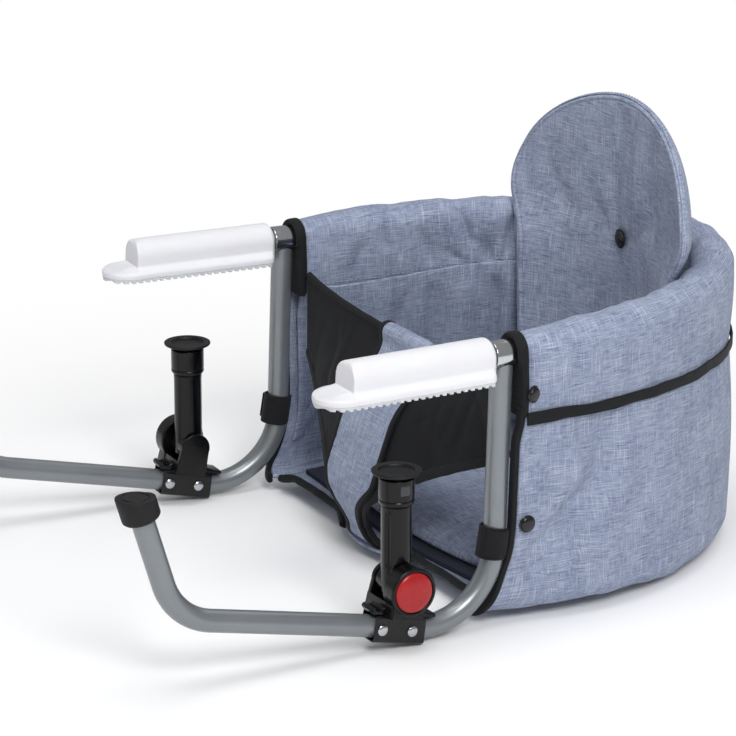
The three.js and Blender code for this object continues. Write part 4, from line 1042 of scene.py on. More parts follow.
halves = np.stack([pad_half(*row) for row in zip(ridge, wide, brim, tongue, nose)])
pad_sections = np.concatenate([halves, halves[:, ::-1] * [-1, 1]], 1)
pad = points_of(pad_sections[..., 0], pad_rows[:, None], pad_sections[..., 1])
outward = unit(pad[-1:] * [1, 0, 1] - [0, 0, ARM_HEIGHT] + [0, 1e-6, 0])
bore = outward * BORE + [0, 0, ARM_HEIGHT]
pad = ended(np.concatenate([pad, bore + [0, 15, 0], bore + [0, 14, 0], bore + [0, 6, 0]]))

tooth = np.arange(TEETH)[:, None]
tooth_y = (15 - PITCH * (tooth + np.array([0.02, 0.48, 0.52, 0.98]))).ravel()
tooth_z = np.tile([0.0, 0.0, TOOTH_DEPTH, TOOTH_DEPTH], TEETH)
inside = (tooth_y > PAD_TIP + 1) & (tooth_y < FLANGE_REAR - 0.5)
sole_rows = np.concatenate([[FLANGE_REAR - 0.3], tooth_y[inside], [PAD_TIP + 0.4]])
sole_low = np.concatenate([[0], tooth_z[inside], [0]])
sole_half = flange_half(sole_rows, 0.3)
corners = points_of(
    np.stack([sole_half, sole_half, -sole_half, -sole_half], -1),
    sole_rows[:, None],
    np.stack([sole_low, 0 * sole_low + SOLE_TOP, 0 * sole_low + SOLE_TOP, sole_low], -1),
)
sole = ended(np.concatenate([corners, corners[:, :1]], 1))
for name, side in SIDES.items():
    grip = build(f"{name}_grip_pad", [beside(pad, side)], sharp=50)
    dress(grip, "seat", milky_rubber, "white_rubber", f"grip_pad_{name}")
    tread = build(f"{name}_grip_sole", [beside(sole, side)], sharp=25)
    dress(tread, "seat", sole_rubber, "grey_rubber", f"grip_sole_{name}")
print("grip pads:", len(grip.data.polygons), "faces each")

# %% [markdown]
# ## The clamp
# A steel channel is riveted round the run. A moulded saddle sits on it with two cheeks, and
# the column turns between them once the red button is pressed. A nut on the column's top
# screws the stem up, and its dish presses against the table from below.

# %% Bracket and rivets


CHANNEL_HALF, CHANNEL_LIP, PLATE = 10.25, 11.0, 1.5


def channel(y_low, y_high):
    """The middle surface of a bent channel, open at the top, its ends slightly slanted."""
    w, h = CHANNEL_HALF, CHANNEL_LIP
    line = eased([[w, h], [w, -w], [-w, -w], [-w, h]], 3.2, 8)
    first, last = np.linspace(line[0], line[1], 12)[:-1], np.linspace(line[-2], line[-1], 12)[1:]
    line = np.concatenate([first, line[1:-1], last])
    line = line[np.concatenate([[True], np.linalg.norm(np.diff(line, axis=0), axis=1) > 0.05])]
    s = shares(18, y_high - y_low, PLATE / 2)[:, None]
    slant = 0.09 * line[None, :, 1]
    y = mix(y_low - slant * 0.6, y_high - slant, s)
    return points_of(line[None, :, 0], y, line[None, :, 1])


rivet_profile = eased(
    [[0, 9.5], [2.6, 9.5], [2.6, 11.3], [4.5, 11.3], [4.4, 12.1], [2.6, 13.0], [0, 13.2]], 0.6, 5
)
for name, side in SIDES.items():
    body = f"lower_arm_body_{name}"
    place = lambda points, side=side: beside(on_run(points), side)
    sheets = pillow(channel(-19.8, 25.8), PLATE, PLATE / 2)
    bracket = build(f"{name}_clamp_bracket", carried(sheets, place))
    dress(bracket, body, black_steel, "black_steel", f"clamp_bracket_{name}")
    for at, y in (("front", -13.5), ("rear", 13.5)):
        heads = [turned(rivet_profile * [1, end], "x", 40, (0, y, 0)) for end in (1, -1)]
        rivet = build(f"{name}_{at}_rivet", [place(head) for head in heads])
        dress(rivet, body, zinc_steel, "zinc_steel", f"bracket_rivet_{at}_{name}")
print("brackets:", len(bracket.data.polygons), "faces each")

# %% [markdown]
# The moulded base has flat parts, which are outlines with a thickness, and round ones, which
# are profiles turned about the hinge. All their edges get a small radius, because a mould
# needs it. The profiles are read off the photograph as distances from the hinge's middle.

# %% Outlines and profiles of the clamp


def curve(start, pull, end, steps=8):
    """A quadratic curve from start to end, drawn towards the pull."""
    t = np.linspace(0, 1, steps)[:, None]
    return (1 - t) ** 2 * np.array(start) + 2 * t * (1 - t) * np.array(pull) + t**2 * np.array(end)


saddle_outline = np.concatenate(
    [
        [[-22.5, 11.3], [10, 11.3], [33.4, 11.3], [34, 12.6]],
        curve((33, 14.2), (15, 14.6), (11, 21.8)),
        curve((-11, 21.8), (-14.4, 14.6), (-20, 15.4)),
        curve((-21.5, 16.6), (-24.4, 16.6), (-24.2, 13.4), 5),
    ]
)
block_outline = np.array([[-14, 11.3], [14, 11.3], [13.7, 21.8], [-13.7, 21.8]], float)
arc = np.linspace(-0.18, np.pi + 0.18, 40)
far_cheek_outline = np.concatenate(
    [[[-14, 11.3], [14, 11.3]], np.stack([13 * np.cos(arc), HUB_RISE + 13 * np.sin(arc)], -1)]
)
near_web_outline = np.array([[-14, 11.3], [14, 11.3], [15, 26], [-15, 26]], float)
cup_profile = eased(
    [[0, 8.6], [19.5, 8.6], [19.5, 24], [16.5, 24], [16.4, 14.5], [0, 14.5]],
    [0, 1.5, 1.9, 1.1, 0.3, 0],
    7,
)
stem_end = [[0, -125], [6.6, -125], [7, -124.6], [7, -67.5]]
dish_profile = np.concatenate(
    [
        stem_end,
        eased(
            [[7, -66.8], [12.8, -66.8], [14, -65], [18.6, -64.5], [19.8, -63.6], [19.7, -62],
             [14.4, -62], [13.6, -63.8], [0, -63.8]],
            [0, 0.5, 1.4, 0.9, 0.7, 0.6, 0.7, 0.6, 0],
            4,
        ),
    ]
)
nut_profile = eased(
    [[7.4, -87], [7.4, -88.7], [13.4, -88.7], [14, -87.4], [14, -85.6], [13.5, -85.1], [13.5, -84.7],
     [14, -84.2], [14, -68.3], [12.8, -67.1], [7.4, -67.1], [7.4, -70]],
    0.5,
    3,
)
knuckle_profile = eased([[0, -12], [12, -12], [12, 12], [0, 12]], 1.2, 5)
button_angle = np.linspace(0, np.pi / 2, 18)
button_profile = np.concatenate(
    [
        [[0, 18.5], [15.6, 18.5], [16.1, 19]],
        np.stack([16.1 * np.cos(button_angle) ** 0.9, 23.2 + 3.8 * np.sin(button_angle)], -1),
    ]
)

# %% [markdown]
# The column is a round barrel with two shallow grooves along it, and a round knuckle. The
# window is a small pane in the nut, bent to its curve.

# %% The column's barrel
BARREL, BARREL_FOOT, BARREL_TOP = 12, -160, -89
column_angle = np.linspace(0, 2 * np.pi, 97)[None, :]
column_z = np.concatenate(
    [np.linspace(BARREL_FOOT, -138, 12), np.linspace(-136, -92, 20), [-90.4, -89.5, BARREL_TOP]]
)[:, None]
groove = sum(
    np.exp(-(((column_angle - np.radians(at) + np.pi) % (2 * np.pi) - np.pi) / 0.20) ** 4)
    for at in (-62, 118)
)
reach = smooth((column_z + 141) / 6) * smooth((-93 - column_z) / 4)
column_radius = BARREL - 0.9 * groove * reach - 0.5 * smooth((column_z + 90.4) / 1.4)


def round_hub(radius, angle, z):
    """A place on a round surface about the upright line through the hinge."""
    return points_of(HUB[0] + radius * np.cos(angle), HUB[1] + radius * np.sin(angle), z)


barrel = round_hub(column_radius, column_angle, column_z)
window_angle = np.radians(np.linspace(-17, 17, 15))[None, :]
window = round_hub(14.05, window_angle, np.linspace(-79.5, -71.5, 14)[:, None])
upright = (HUB[0], HUB[1], 0)
print("barrel:", barrel.shape[0], "rings of", barrel.shape[1], "points")

# %% [markdown]
# The pieces of a clamp are put in place on both sides. The base sits on the lower arm. The
# column, the nut, the dish and the button move on their own, so each has a body of its own.

# %% Clamp pieces
for name, side in SIDES.items():
    arm, column_body = f"lower_arm_body_{name}", f"column_body_{name}"
    place = lambda points, side=side: beside(on_run(points), side)
    at_side = lambda points, side=side: beside(points, side)
    grids, plates = [], []
    for outline, low, high, radius in (
        (saddle_outline, -9.2, 9.2, 0.9),
        (block_outline, -20.4, 22.5, 0.6),
        (far_cheek_outline, -20.6, -16.6, 0.8),
        (near_web_outline, 8.8, 20.5, 0.8),
    ):
        grid, ends = extruded(outline, soft_edges(low, high, radius))
        grids.append(place(grid))
        plates += [place(end) for end in ends]
    grids.append(place(turned(cup_profile, "x", 96, (0, 0, HUB_RISE))))
    base = build(f"{name}_hinge_base", grids, plates, sharp=32)
    dress(base, arm, black_plastic, "black_plastic", f"hinge_base_{name}")

    knuckle = turned(knuckle_profile, "x", 72, HUB)
    column = build(f"{name}_support_column", [at_side(ended(barrel)), at_side(knuckle)], sharp=45)
    dress(column, column_body, gloss_plastic, "black_plastic", f"support_column_{name}")

    nut = build(f"{name}_adjusting_nut", [at_side(turned(nut_profile, "z", 96, upright))])
    dress(nut, f"nut_body_{name}", gloss_plastic, "black_plastic", f"adjusting_nut_{name}")
    pane = build(f"{name}_nut_window", carried(pillow(window, 0.7, 1.2), at_side))
    dress(pane, f"nut_body_{name}", window_plastic, "black_plastic")

    dish = turned(dish_profile, "z", 96, upright)
    dish = build(f"{name}_table_dish", [at_side(dish)])
    dress(dish, f"dish_body_{name}", matt_plastic, "black_plastic", f"table_dish_{name}")

    button = turned(button_profile, "x", 80, (0, HUB[1], HUB[2]))
    button = build(f"{name}_lock_button", [at_side(button)])
    dress(button, f"button_body_{name}", red_plastic, "red_plastic", f"lock_button_{name}")
print("clamps:", len(base.data.polygons), "faces in a hinge base")

# %% [markdown]
# ## The straps
# A hook-and-loop strap is laid round each lower arm and both its ends are sewn to the cloth's
# front binding, so that the cloth stays at the arm. It is a flat woven tape, 26 mm wide.
# It is made as a band between two skins, so that its edges are as thin as a tape's.

# %% Straps round the lower arms
STRAP_ROUND, FLAP_ROUND, STRAP_HALF = 10.3, 12.2, 12.8
loop = np.linspace(np.pi, 2 * np.pi, 30)
around = np.stack([np.cos(loop), np.sin(loop)], -1)
strap_line = np.concatenate(
    [
        curve((-1.4, 12.4), (-9.5, 7.5), (-STRAP_ROUND, 0.6), 14)[:-1],
        STRAP_ROUND * around,
        curve((STRAP_ROUND, 0.6), (9.8, 7.5), (2.9, 12.4), 14)[1:],
    ]
)
flap_line = np.concatenate(
    [
        FLAP_ROUND * around[20:],
        curve((FLAP_ROUND, 0.5), (11.8, 6.5), (7.0, 10.6), 12)[1:],
    ]
)
STRAP_TILT, STRAP_MIDDLE = math.radians(9), np.array([0, 19.93, -134.0])


def strap_place(points):
    """Leaned forward with the tape's tilt and moved to its height on the arm."""
    return rotated(points, -STRAP_TILT, "x") + STRAP_MIDDLE


def band(line, low, high, thickness):
    """A tape that stands on edge along a line, between two heights."""
    run = lengths_along(line)
    s = shares(60, run[-1], 0.9) * run[-1]
    x, y = np.interp(s, run, line[:, 0]), np.interp(s, run, line[:, 1])
    heights = mix(low, high, shares(12, high - low, 0.9))
    wave = 0.35 * np.sin(s / 5.1)[:, None] * np.sin(heights / 4.3)[None, :]
    middle = points_of(x[:, None], y[:, None], heights[None, :] + wave)
    return pillow(middle, thickness, 0.9)


for name, side in SIDES.items():
    place = lambda points, side=side: beside(strap_place(points), side)
    skins = band(strap_line, -STRAP_HALF, STRAP_HALF, 2.0) + band(flap_line, -9.5, 11.5, 1.3)
    strap = build(f"{name}_strap", carried(skins, place))
    dress(
        strap, f"lower_arm_body_{name}", hook_loop, "black_tape", f"hook_loop_strap_{name}"
    )
print("straps: 26 mm wide")

# %% [markdown]
# ## The padded rail
# Round the ring runs a thick roll of wadding in chambray, open below, where both its edges
# are hemmed to the walls. The wadding is pulled round the bend, so its inner side gathers in
# puckers, deep ones towards the rear. Three lengths are sewn together behind the child.
# A roll could be modelled by eye, but a section carried along the ring stays true to the tube.

# %% The rail's section
HEM = -31.0  # height of the rail's lower hem
ROLL, HEM_HALF, HEM_TURN = 18, 13, 3  # the roll's radius, the hem's half width and rounding


def from_nearer_end(along):
    """The distance along the ring from the nearer of its two ends."""
    return np.minimum(along, 1 - along) * RING_LENGTH


def rail_section(along):
    """A closed section: flat hem, soft side, half circle over the tube, gathered inner side.
    It gives offsets from the tube and heights, one row for each share of the ring."""
    a = np.asarray(along)[:, None]
    radius = ROLL - 3 * (1 - smooth(from_nearer_end(a) / 60))
    middle = ring_height(a)
    gather = 2 * np.sin(np.pi * 18 * a) ** 2 * smooth((from_nearer_end(a) - 90) / 90)
    hem = np.linspace(0, HEM_HALF, 7)[None, :-1] + 0 * a
    side = HEM_HALF + HEM_TURN
    turn = np.linspace(0, np.pi / 2, 6)[None, :]
    rise = np.linspace(0, 1, 26)[None, 1:-1]
    over = np.linspace(0, np.pi, 64)[None, :]
    swell = 1.1 * np.sin(np.pi * rise)
    inner = radius - gather
    over_radius = radius - gather * (1 - np.cos(over)) / 2
    rear = smooth((from_nearer_end(a) - 120) / 160)
    offsets = [
        hem,
        HEM_HALF + HEM_TURN * np.sin(turn) + 0 * a,
        mix(side, radius, smooth(rise)) + swell,
        over_radius * np.cos(over),
        -(mix(inner, side, smooth(rise)) + swell),
        -(HEM_HALF + HEM_TURN * np.cos(turn) + 0 * a),
        -hem[:, ::-1],
    ]
    heights = [
        HEM + 0 * hem,
        HEM + HEM_TURN - HEM_TURN * np.cos(turn) + 0 * a,
        mix(HEM + HEM_TURN, middle, rise),
        middle + over_radius * np.sin(over) * (1 + 0.16 * rear),
        mix(middle, HEM + HEM_TURN, rise),
        HEM + HEM_TURN - HEM_TURN * np.sin(turn) + 0 * a,
        HEM + 0 * hem,
    ]
    return np.concatenate(offsets, 1), np.concatenate(heights, 1)


SEAM_OVER_HEM = 5.5


def inner_seam(along):
    """The inner side's seam starts near the hem and climbs towards the rear."""
    return HEM + SEAM_OVER_HEM + 15 * smooth((from_nearer_end(along) - 40) / 160)


print("rail section:", rail_section([0.5])[0].shape[1], "points")

# %% [markdown]
# The rail's puckers are marks: distance from the left end, distance outwards over the crown,
# angle, length, width and depth. The listed ones show, the drawn ones fill in between them.

# %% The rail's marks
rail_marks = [
    (602, -28, 1.30, 20, 3.6, -6.5), (562, -36, 1.76, 21, 3.6, -6.5),
    (635, -46, 1.31, 17, 4.4, -4.6), (621, -20, 1.45, 15, 6.0, 2.4),
    (582, -24, 1.60, 16, 6.5, 2.6), (584, -52, 1.00, 12, 4.5, -3.0),
    (612, -56, 0.60, 14, 4.5, -2.6), (692, -50, 1.90, 14, 5.0, -2.6),
    (672, -34, 1.20, 14, 5.5, -1.8), (655, -20, 1.70, 14, 6.0, 1.5),
    (544, -26, 1.35, 17, 3.2, -4.0), (524, -25, 1.75, 16, 3.4, -3.0),
    (548, -8, 1.20, 12, 5.0, -1.5), (505, -10, 1.40, 14, 5.0, -1.8),
    (664, -8, 0.40, 18, 5.0, -1.0), (168, 22, 1.25, 20, 4.0, -1.5),
    (132, 26, 1.50, 15, 4.0, -1.2), (96, 18, 0.15, 34, 3.0, -0.8),
    (60, 20, 0.30, 24, 3.0, -1.0), (40, 52, 1.00, 15, 3.4, -1.6),
    (54, 60, 1.30, 12, 3.0, -1.5), (205, 10, 1.70, 20, 6.0, -1.3),
    (238, 24, 1.50, 18, 5.0, -1.4), (34, 6, 0.20, 22, 3.0, -0.9),
    (84, 46, 0.10, 40, 3.4, -0.8),
]
rail_small = scattered(
    5, 90, (20, -45, 0.9, 8, 2.4, -0.9), (RING_LENGTH - 20, 45, 2.2, 17, 6.0, 0.55)
)
print("marks on the rail:", len(rail_marks), "listed,", len(rail_small), "drawn")

# %% [markdown]
# The roll is the section at some hundred places along the ring, pushed in and out by the
# marks. Both seams draw the cloth in, and so do the ends where two lengths are joined.

# %% The rail's roll
ring_seams = {"left": (0.00707, 0.35973), "back": (0.36027, 0.63973), "right": (0.64027, 0.99293)}
rail_rolls, inner_stitches = {}, {}
for name, (start, end) in ring_seams.items():
    length = (end - start) * RING_LENGTH
    along = mix(start, end, shares(int(length / 1.9), length, 2.5))
    offsets, heights = rail_section(along)
    a = along[:, None]
    roll = points_of(*ring_plan(a + 0 * offsets, offsets), heights)
    cut = flat_cut(roll)
    u = a * RING_LENGTH + 0 * offsets
    v = (cut[:1, cut.shape[1] // 2, 1] - cut[..., 1]) / MM
    push = creases(u, v, rail_marks) + creases(u, v, rail_small)
    rear = smooth(from_nearer_end(a) / 120)
    push += 1.5 * drift(u, 48, 3) * np.exp(-(((v + 8) / 24) ** 2)) * rear
    ends = np.minimum(u - start * RING_LENGTH, end * RING_LENGTH - u)
    push -= 2.2 * np.exp(-((ends / 3.2) ** 2)) + 0.5 * np.exp(-((ends / 12) ** 2))
    seam_height = np.where(v < 0, inner_seam(a), HEM + SEAM_OVER_HEM)
    seam = np.exp(-(((heights - seam_height) / 1.1) ** 2)) * (np.abs(v) > 20)
    push -= 0.8 * seam
    normal = normals_of(roll, closed=True)
    middle = points_of(*ring_plan(a, 0), ring_height(a))
    outwards = np.sign(((roll - middle) * normal).sum(-1, keepdims=True).mean())
    roll = roll + outwards * normal * push[..., None]
    roll = np.concatenate([roll, roll[:, :1]], 1)
    cover = build(f"{name}_rail_roll", [ended(roll)])
    dress(cover, "seat", blue_cloth, "blue_cloth", f"rail_cover_{name}")
    rail_rolls[name] = cover
    above = np.abs(np.where(v < -20, heights - seam_height - 2.2, 99)).argmin(1)
    places = np.arange(len(above))
    inner_stitches[name] = (roll[places, above] + (outwards * normal)[places, above] * 0.2)[3:-3]
print("rail:", sum(len(p.data.polygons) for p in rail_rolls.values()), "faces")

# %% [markdown]
# ## The bucket's walls
# The walls are two layers of chambray with thin wadding between, hung from the rail and sewn
# to the bottom round a soft edge. Folds run down in an S from the rail to the front corner,
# because the strap pulls the cloth forward there. The cloth is also a little slack, which
# gives many shallow wrinkles and a bottom edge that waves.

# %% The long folds
FOLD_WIDTH, FOLD_DEPTH = 11, 3
# Each long fold: share down where it starts and ends, share along the ring there, depth, width.
S_FOLDS = (
    (-0.02, 0.50, 0.0980, 0.0930, 3.0, 1.30),
    (0.34, 0.62, 0.0950, 0.0610, 1.6, 1.40),
    (0.46, 0.98, 0.0650, 0.0580, 3.2, 1.20),
    (0.58, 1.02, 0.0420, 0.0000, 2.8, 1.00),
    (0.50, 0.90, 0.0480, 0.0180, -1.2, 1.20),
    (0.20, 0.95, 0.1500, 0.1230, 0.9, 1.60),
    (0.10, 0.80, 0.2100, 0.2300, 0.7, 1.80),
)


def s_folds(along, share):
    """How far the long folds draw the wall in: each one's middle runs from its upper to its
    lower place on a soft step, and fades at both ends. A negative one is a ridge."""
    total = 0.0
    for top, bottom, top_along, bottom_along, deep, broad in S_FOLDS:
        s = (share - top) / (bottom - top)
        middle = mix(top_along, bottom_along, smooth(s))
        fade = np.clip(1 - (2 * s - 1) ** 2 / 1.6, 0, 1) ** 1.2
        away = (np.minimum(along, 1 - along) - middle) * RING_LENGTH / (FOLD_WIDTH * broad)
        total = total + FOLD_DEPTH * deep * fade * np.exp(-(away**2))
    return total


print("long folds:", round(float(s_folds(0.05, 0.75)), 1), "mm deep near the front corner")

# %% [markdown]
# The face of a wall bulges a little and turns in round the bottom, and its front edge is cut
# to a curve. Functions give its place for any share down and along, so that the bindings,
# snaps and stitches can be laid on it later.

# %% The walls' shape
WALL_TOP, WALL_FLOOR, CORNER = HEM - 0.3, -178.0, 18.0
CORNER_SHARE = 3 / 11  # of the wall's length down
WALL_OUT, FOOT_OUT, FOOT_STEP = 15, 18, 11  # offsets from the ring's line
FRONT_EDGE = 41


def wall_profile(down, along):
    """Offset, height and slant of the outer face: straight with a slight bulge and the
    folds, then a quarter circle round to the bottom."""
    swell = smooth(from_nearer_end(along) / 80)
    foot = FOOT_OUT - FOOT_STEP * (1 - swell)
    share = down / (1 - CORNER_SHARE)
    angle = np.pi / 2 * np.clip((down - 1 + CORNER_SHARE) / CORNER_SHARE, 0, 1)
    folds = s_folds(along, share) * smooth((1 - share) / 0.35)
    bulge = 3 * swell * np.sin(np.pi * np.clip(share, 0, 1)) - folds
    straight = share < 1
    turned_in, turned_down = CORNER * (1 - np.cos(angle)), CORNER * np.sin(angle)
    offset = np.where(straight, mix(WALL_OUT, foot, share) + bulge, foot - turned_in)
    height = np.where(straight, mix(WALL_TOP, WALL_FLOOR, share), WALL_FLOOR - turned_down)
    return offset, height, angle


def wall_front(height):
    """The front edge steps forward a little under the rail and curves on near the bottom."""
    upper = FRONT_EDGE - 4 * smooth((HEM - height) / 24)
    return mix(upper, 12, (np.maximum(-110 - height, 0) / 86) ** 2.4)


def in_wall(down, along, depth, front=None):
    """A point at a depth below the wall's outer face."""
    offset, height, angle = wall_profile(down, along)
    front = wall_front(height) if front is None else front
    x, y = ring_plan(along + 0 * offset, offset - depth * np.cos(angle), front + 0 * offset)
    return points_of(x, y, height + depth * np.sin(angle))


print("the wall's foot is", wall_profile(1, 0.5)[1].round(1), "mm high at the rear")

# %% [markdown]
# Between the long folds the cloth has short creases of its own, most of them near the front
# corner: distance from the left end, distance down, angle, length, width and depth.

# %% The walls' marks
wall_marks = [
    (30, 62, 1.1, 26, 4.0, -1.6), (22, 98, -0.5, 16, 3.5, 1.8),
    (26, 106, 2.5, 22, 4.0, -2.2), (40, 118, 2.2, 26, 4.5, -1.6),
    (64, 112, 1.2, 20, 5.0, -1.6), (14, 40, 1.3, 22, 3.5, -1.2),
    (52, 20, 1.5, 16, 4.5, -1.5), (70, 40, 1.35, 34, 9.0, -1.2),
    (112, 64, 1.5, 44, 9.0, -1.0), (150, 96, 1.7, 36, 10.0, -1.1),
    (196, 52, 1.45, 40, 10.0, -1.3), (214, 118, 1.6, 28, 8.0, -0.9),
    (80, 120, 0.6, 30, 6.0, -0.9), (RING_LENGTH - 196, 50, 1.55, 52, 6.0, -2.6),
    (RING_LENGTH - 244, 55, 1.6, 55, 6.5, -2.8), (RING_LENGTH - 140, 70, 1.7, 45, 9.0, -1.4),
    (RING_LENGTH - 90, 55, 1.3, 40, 8.0, -1.2),
]
wall_small = scattered(
    8, 110, (15, 8, 0.7, 14, 3.5, -0.8), (RING_LENGTH - 15, 150, 2.4, 36, 9, 0.5)
)
print("marks on the walls:", len(wall_marks), "listed,", len(wall_small), "drawn")

# %% [markdown]
# Each wall is its middle surface, moved by the folds, the marks and a line of stitches that
# draws it in over the bottom edge, and two skins round it.

# %% Walls
WALL_LENGTH, WALL_CUT = 175, 0.178  # down the wall in millimetres, and its flat cut in metres
WALL_HEM = 153  # where its stitches draw it in
wall_spans = {"left_side": (0.0, 0.35973), "back": (0.36027, 0.63973), "right_side": (0.64027, 1.0)}
wall_nodes = {"left_side": "side_panel_left", "back": "back_panel", "right_side": "side_panel_right"}
for name, (start, end) in wall_spans.items():
    length = (end - start) * RING_LENGTH
    along = mix(start, end, shares(int(length / 2.0), length, 2.0))[:, None]
    down = shares(92, WALL_LENGTH, 2.0)[None, :]
    u, v = along * RING_LENGTH + 0 * down, WALL_LENGTH * down + 0 * along
    sag = creases(u, v, wall_marks) + creases(u, v, wall_small)
    sag += 0.8 * drift(u, 130, 11) * smooth((v - 60) / 90)
    sag -= 1.1 * np.exp(-(((v - WALL_HEM) / 1.3) ** 2))
    sag += 0.6 * np.exp(-(((v - WALL_HEM - 5) / 4) ** 2))
    ends = np.minimum(u - start * RING_LENGTH, end * RING_LENGTH - u)
    sag *= smooth(ends / 12) * smooth(v / 10)
    middle = in_wall(down, along, 2.4 - sag)
    low = smooth((v - 70) / 90)
    middle[..., 2] += 1.3 * drift(u, 58, 2) * smooth((v - 120) / 45)
    middle[..., 2] -= 4.5 * low * smooth((from_nearer_end(along) - 70) / 90)
    panel = build(f"{name}_wall", pillow(middle, 4.8, 2.0))
    dress(panel, "seat", blue_cloth, "blue_cloth", wall_nodes[name])
    above = rail_rolls[name.split("_")[0]].name
    round(length * MM, 3)
    print(name, "wall cut:", round(length), "x", round(WALL_CUT / MM), "mm")

# %% [markdown]
# Inside, the walls have a lining that starts flush under the rail's inner seam and slopes out
# to the bottom. Where the rail gathers, the lining has folds too.

# %% Lining
LINING_LENGTH, LINING_FOOT = 142.0, -166
lining_marks = np.array(
    [
        (631, 52, 1.56, 46, 5.0, -5.0),
        (575, 54, 1.56, 48, 6.5, -7.0),
        (604, 50, 1.50, 40, 8.0, 2.0),
        (658, 42, 1.35, 26, 6.0, -3.0),
        (548, 60, 1.60, 44, 6.0, -4.0),
        (520, 52, 1.50, 40, 6.0, -2.4),
        (618, 60, 1.45, 30, 6.0, -1.6),
    ]
)
lining_small = scattered(
    9, 70, (15, 10, 0.9, 12, 3.5, -0.9), (RING_LENGTH - 15, 130, 2.2, 30, 8, 0.4)
)
for name, (start, end) in ring_seams.items():
    length = (end - start) * RING_LENGTH
    along = mix(start, end, shares(int(length / 2.2), length, 1.2))[:, None]
    down = shares(70, LINING_LENGTH, 1.2)[None, :]
    u, v = along * RING_LENGTH + 0 * down, LINING_LENGTH * down + 0 * along
    near_end = smooth(from_nearer_end(along) / 34)
    height = mix(inner_seam(along) + 0.6, LINING_FOOT, down)
    sloped = smooth((HEM + 12 - height) / 190) ** 0.9
    offset = mix(mix(7.5, -1.5, down), mix(-18.9, 16.0, sloped), near_end)
    sag = creases(u, v, lining_marks) + creases(u, v, lining_small)
    sag *= smooth((v - 6) / 14) * smooth((LINING_LENGTH - v) / 14) * near_end
    x, y = ring_plan(along + 0 * down, offset - sag, wall_front(height) + 1.5)
    lining = build(f"{name}_lining", pillow(points_of(x, y, height), 2.4, 1.2))
    dress(lining, "seat", blue_cloth, "blue_cloth")
print("lining:", LINING_LENGTH, "mm deep")

# %% [markdown]
# A black tape covers the line where the rail's outer hem meets the wall. It is 9 mm wide,
# sewn on flat, so it follows every puff of the cloth.

# %% Hem tape
along = np.concatenate([np.linspace(a, b, 110) for a, b in ring_seams.values()])[:, None]
tape_section = lozenge(1.7, 9.0, 0.7)
tape_out, tape_up = tape_section[None, :, 0], tape_section[None, :, 1]
u = along * RING_LENGTH
tape_wide = 1 + 0.22 * (1 - smooth(from_nearer_end(along) / 60)) + 0.07 * drift(u, 45, 6)
tape = points_of(
    *ring_plan(along + 0 * tape_out, 17.45 + tape_out + 0.3 * drift(u, 50, 9)),
    HEM - 1.5 + tape_up * tape_wide + 0.7 * drift(u, 85, 4),
)
hem_tape = build("rail_hem_tape", [ended(tape)])
dress(hem_tape, "seat", black_tape, "black_tape", "hem_tape")
print("hem tape:", round(float(lengths_along(tape[:, 0]).max())), "mm round the outside")

# %% [markdown]
# ## The front edges
# A black binding closes the roll round the tube like a thick ring and runs on down the front
# edge of each wall, wrapped round it, forward to the seat's front corner.

# %% Front edge bindings
HOLE, RING_OVER = 9.6, 1.2  # the hole for the tube, and how far the ring stands over the roll
end_x, end_z = (rows[0] for rows in rail_section([0.0]))
end_outline = np.stack([end_x, end_z], -1)
end_outline = end_outline[np.linalg.norm(end_outline - np.roll(end_outline, 1, 0), axis=1) > 0.01]
run = unit(np.roll(end_outline, -1, 0) - np.roll(end_outline, 1, 0))
end_outline = end_outline + np.stack([run[:, 1], -run[:, 0]], -1) * RING_OVER
end_outline = np.concatenate([end_outline, end_outline[:1]])
hole_angle = np.arctan2(end_outline[:, 1] - ARM_HEIGHT, end_outline[:, 0])
end_hole = np.stack([HOLE * np.cos(hole_angle), ARM_HEIGHT + HOLE * np.sin(hole_angle)], -1)
# The ring's section: share of the way from the hole to the outline, y, share of the bulge.
plate_levels = np.array(
    [(0, 41, 0), (0, 38.4, 0), (0.03, 37.6, 0), (0.1, 37.2, 0.2), (0.3, 37.0, 0.6), (0.5, 36.9, 0.9),
     (0.7, 36.8, 1), (0.84, 36.6, 0.9), (0.94, 36.8, 0.6), (0.99, 37.8, 0.2), (1, 39.2, 0),
     (1, 41.2, 0), (0.97, 42.2, 0), (0.9, 42.6, 0), (0.3, 42.4, 0), (0, 41, 0)]
)
PLATE_BULGE = 3.2  # forward, over the arm only, clear of the lower arm's tube
STRIP_TOP, STRIP_BACK = -24.0, 3.0  # its top end's height, and how far it is behind the edge
edge_down = np.linspace(0, 1, 90)[:, None]
for name, side in SIDES.items():
    ring_rows = mix(end_hole, end_outline, plate_levels[:, :1, None])
    bulge = PLATE_BULGE * plate_levels[:, 2:] * smooth((ring_rows[..., 1] - 6) / 12)
    body_ring = points_of(
        side * (ARM_HALF + ring_rows[..., 0]), plate_levels[:, 1:2] - bulge, ring_rows[..., 1]
    )
    share = 0.0 if side > 0 else 1.0
    section = lozenge(8.2, 4.8, 1.9)
    height = wall_profile(edge_down, share)[1]
    middle = wall_front(height) - STRIP_BACK
    depth = 2.5 + section[None, :, 0] * (1 + 0.03 * np.sin(edge_down * 37))
    strip = in_wall(edge_down, share + 0 * depth, depth, middle + section[None, :, 1])
    head = strip[:1] * [1, 1, 0] + [0, 0, STRIP_TOP]
    strip = ended(np.concatenate([head, mix(head, strip[:1], 0.5), strip]))
    binding = build(f"{name}_front_edge_binding", [body_ring, strip])
    dress(binding, "seat", black_tape, "black_tape", f"front_edge_binding_{name}")
print("front bindings:", len(binding.data.polygons), "faces each")

# %% [markdown]
# The snaps are black plastic caps with a rolled rim and a low dome, turned from one profile.
# The one on the backrest is a little larger.

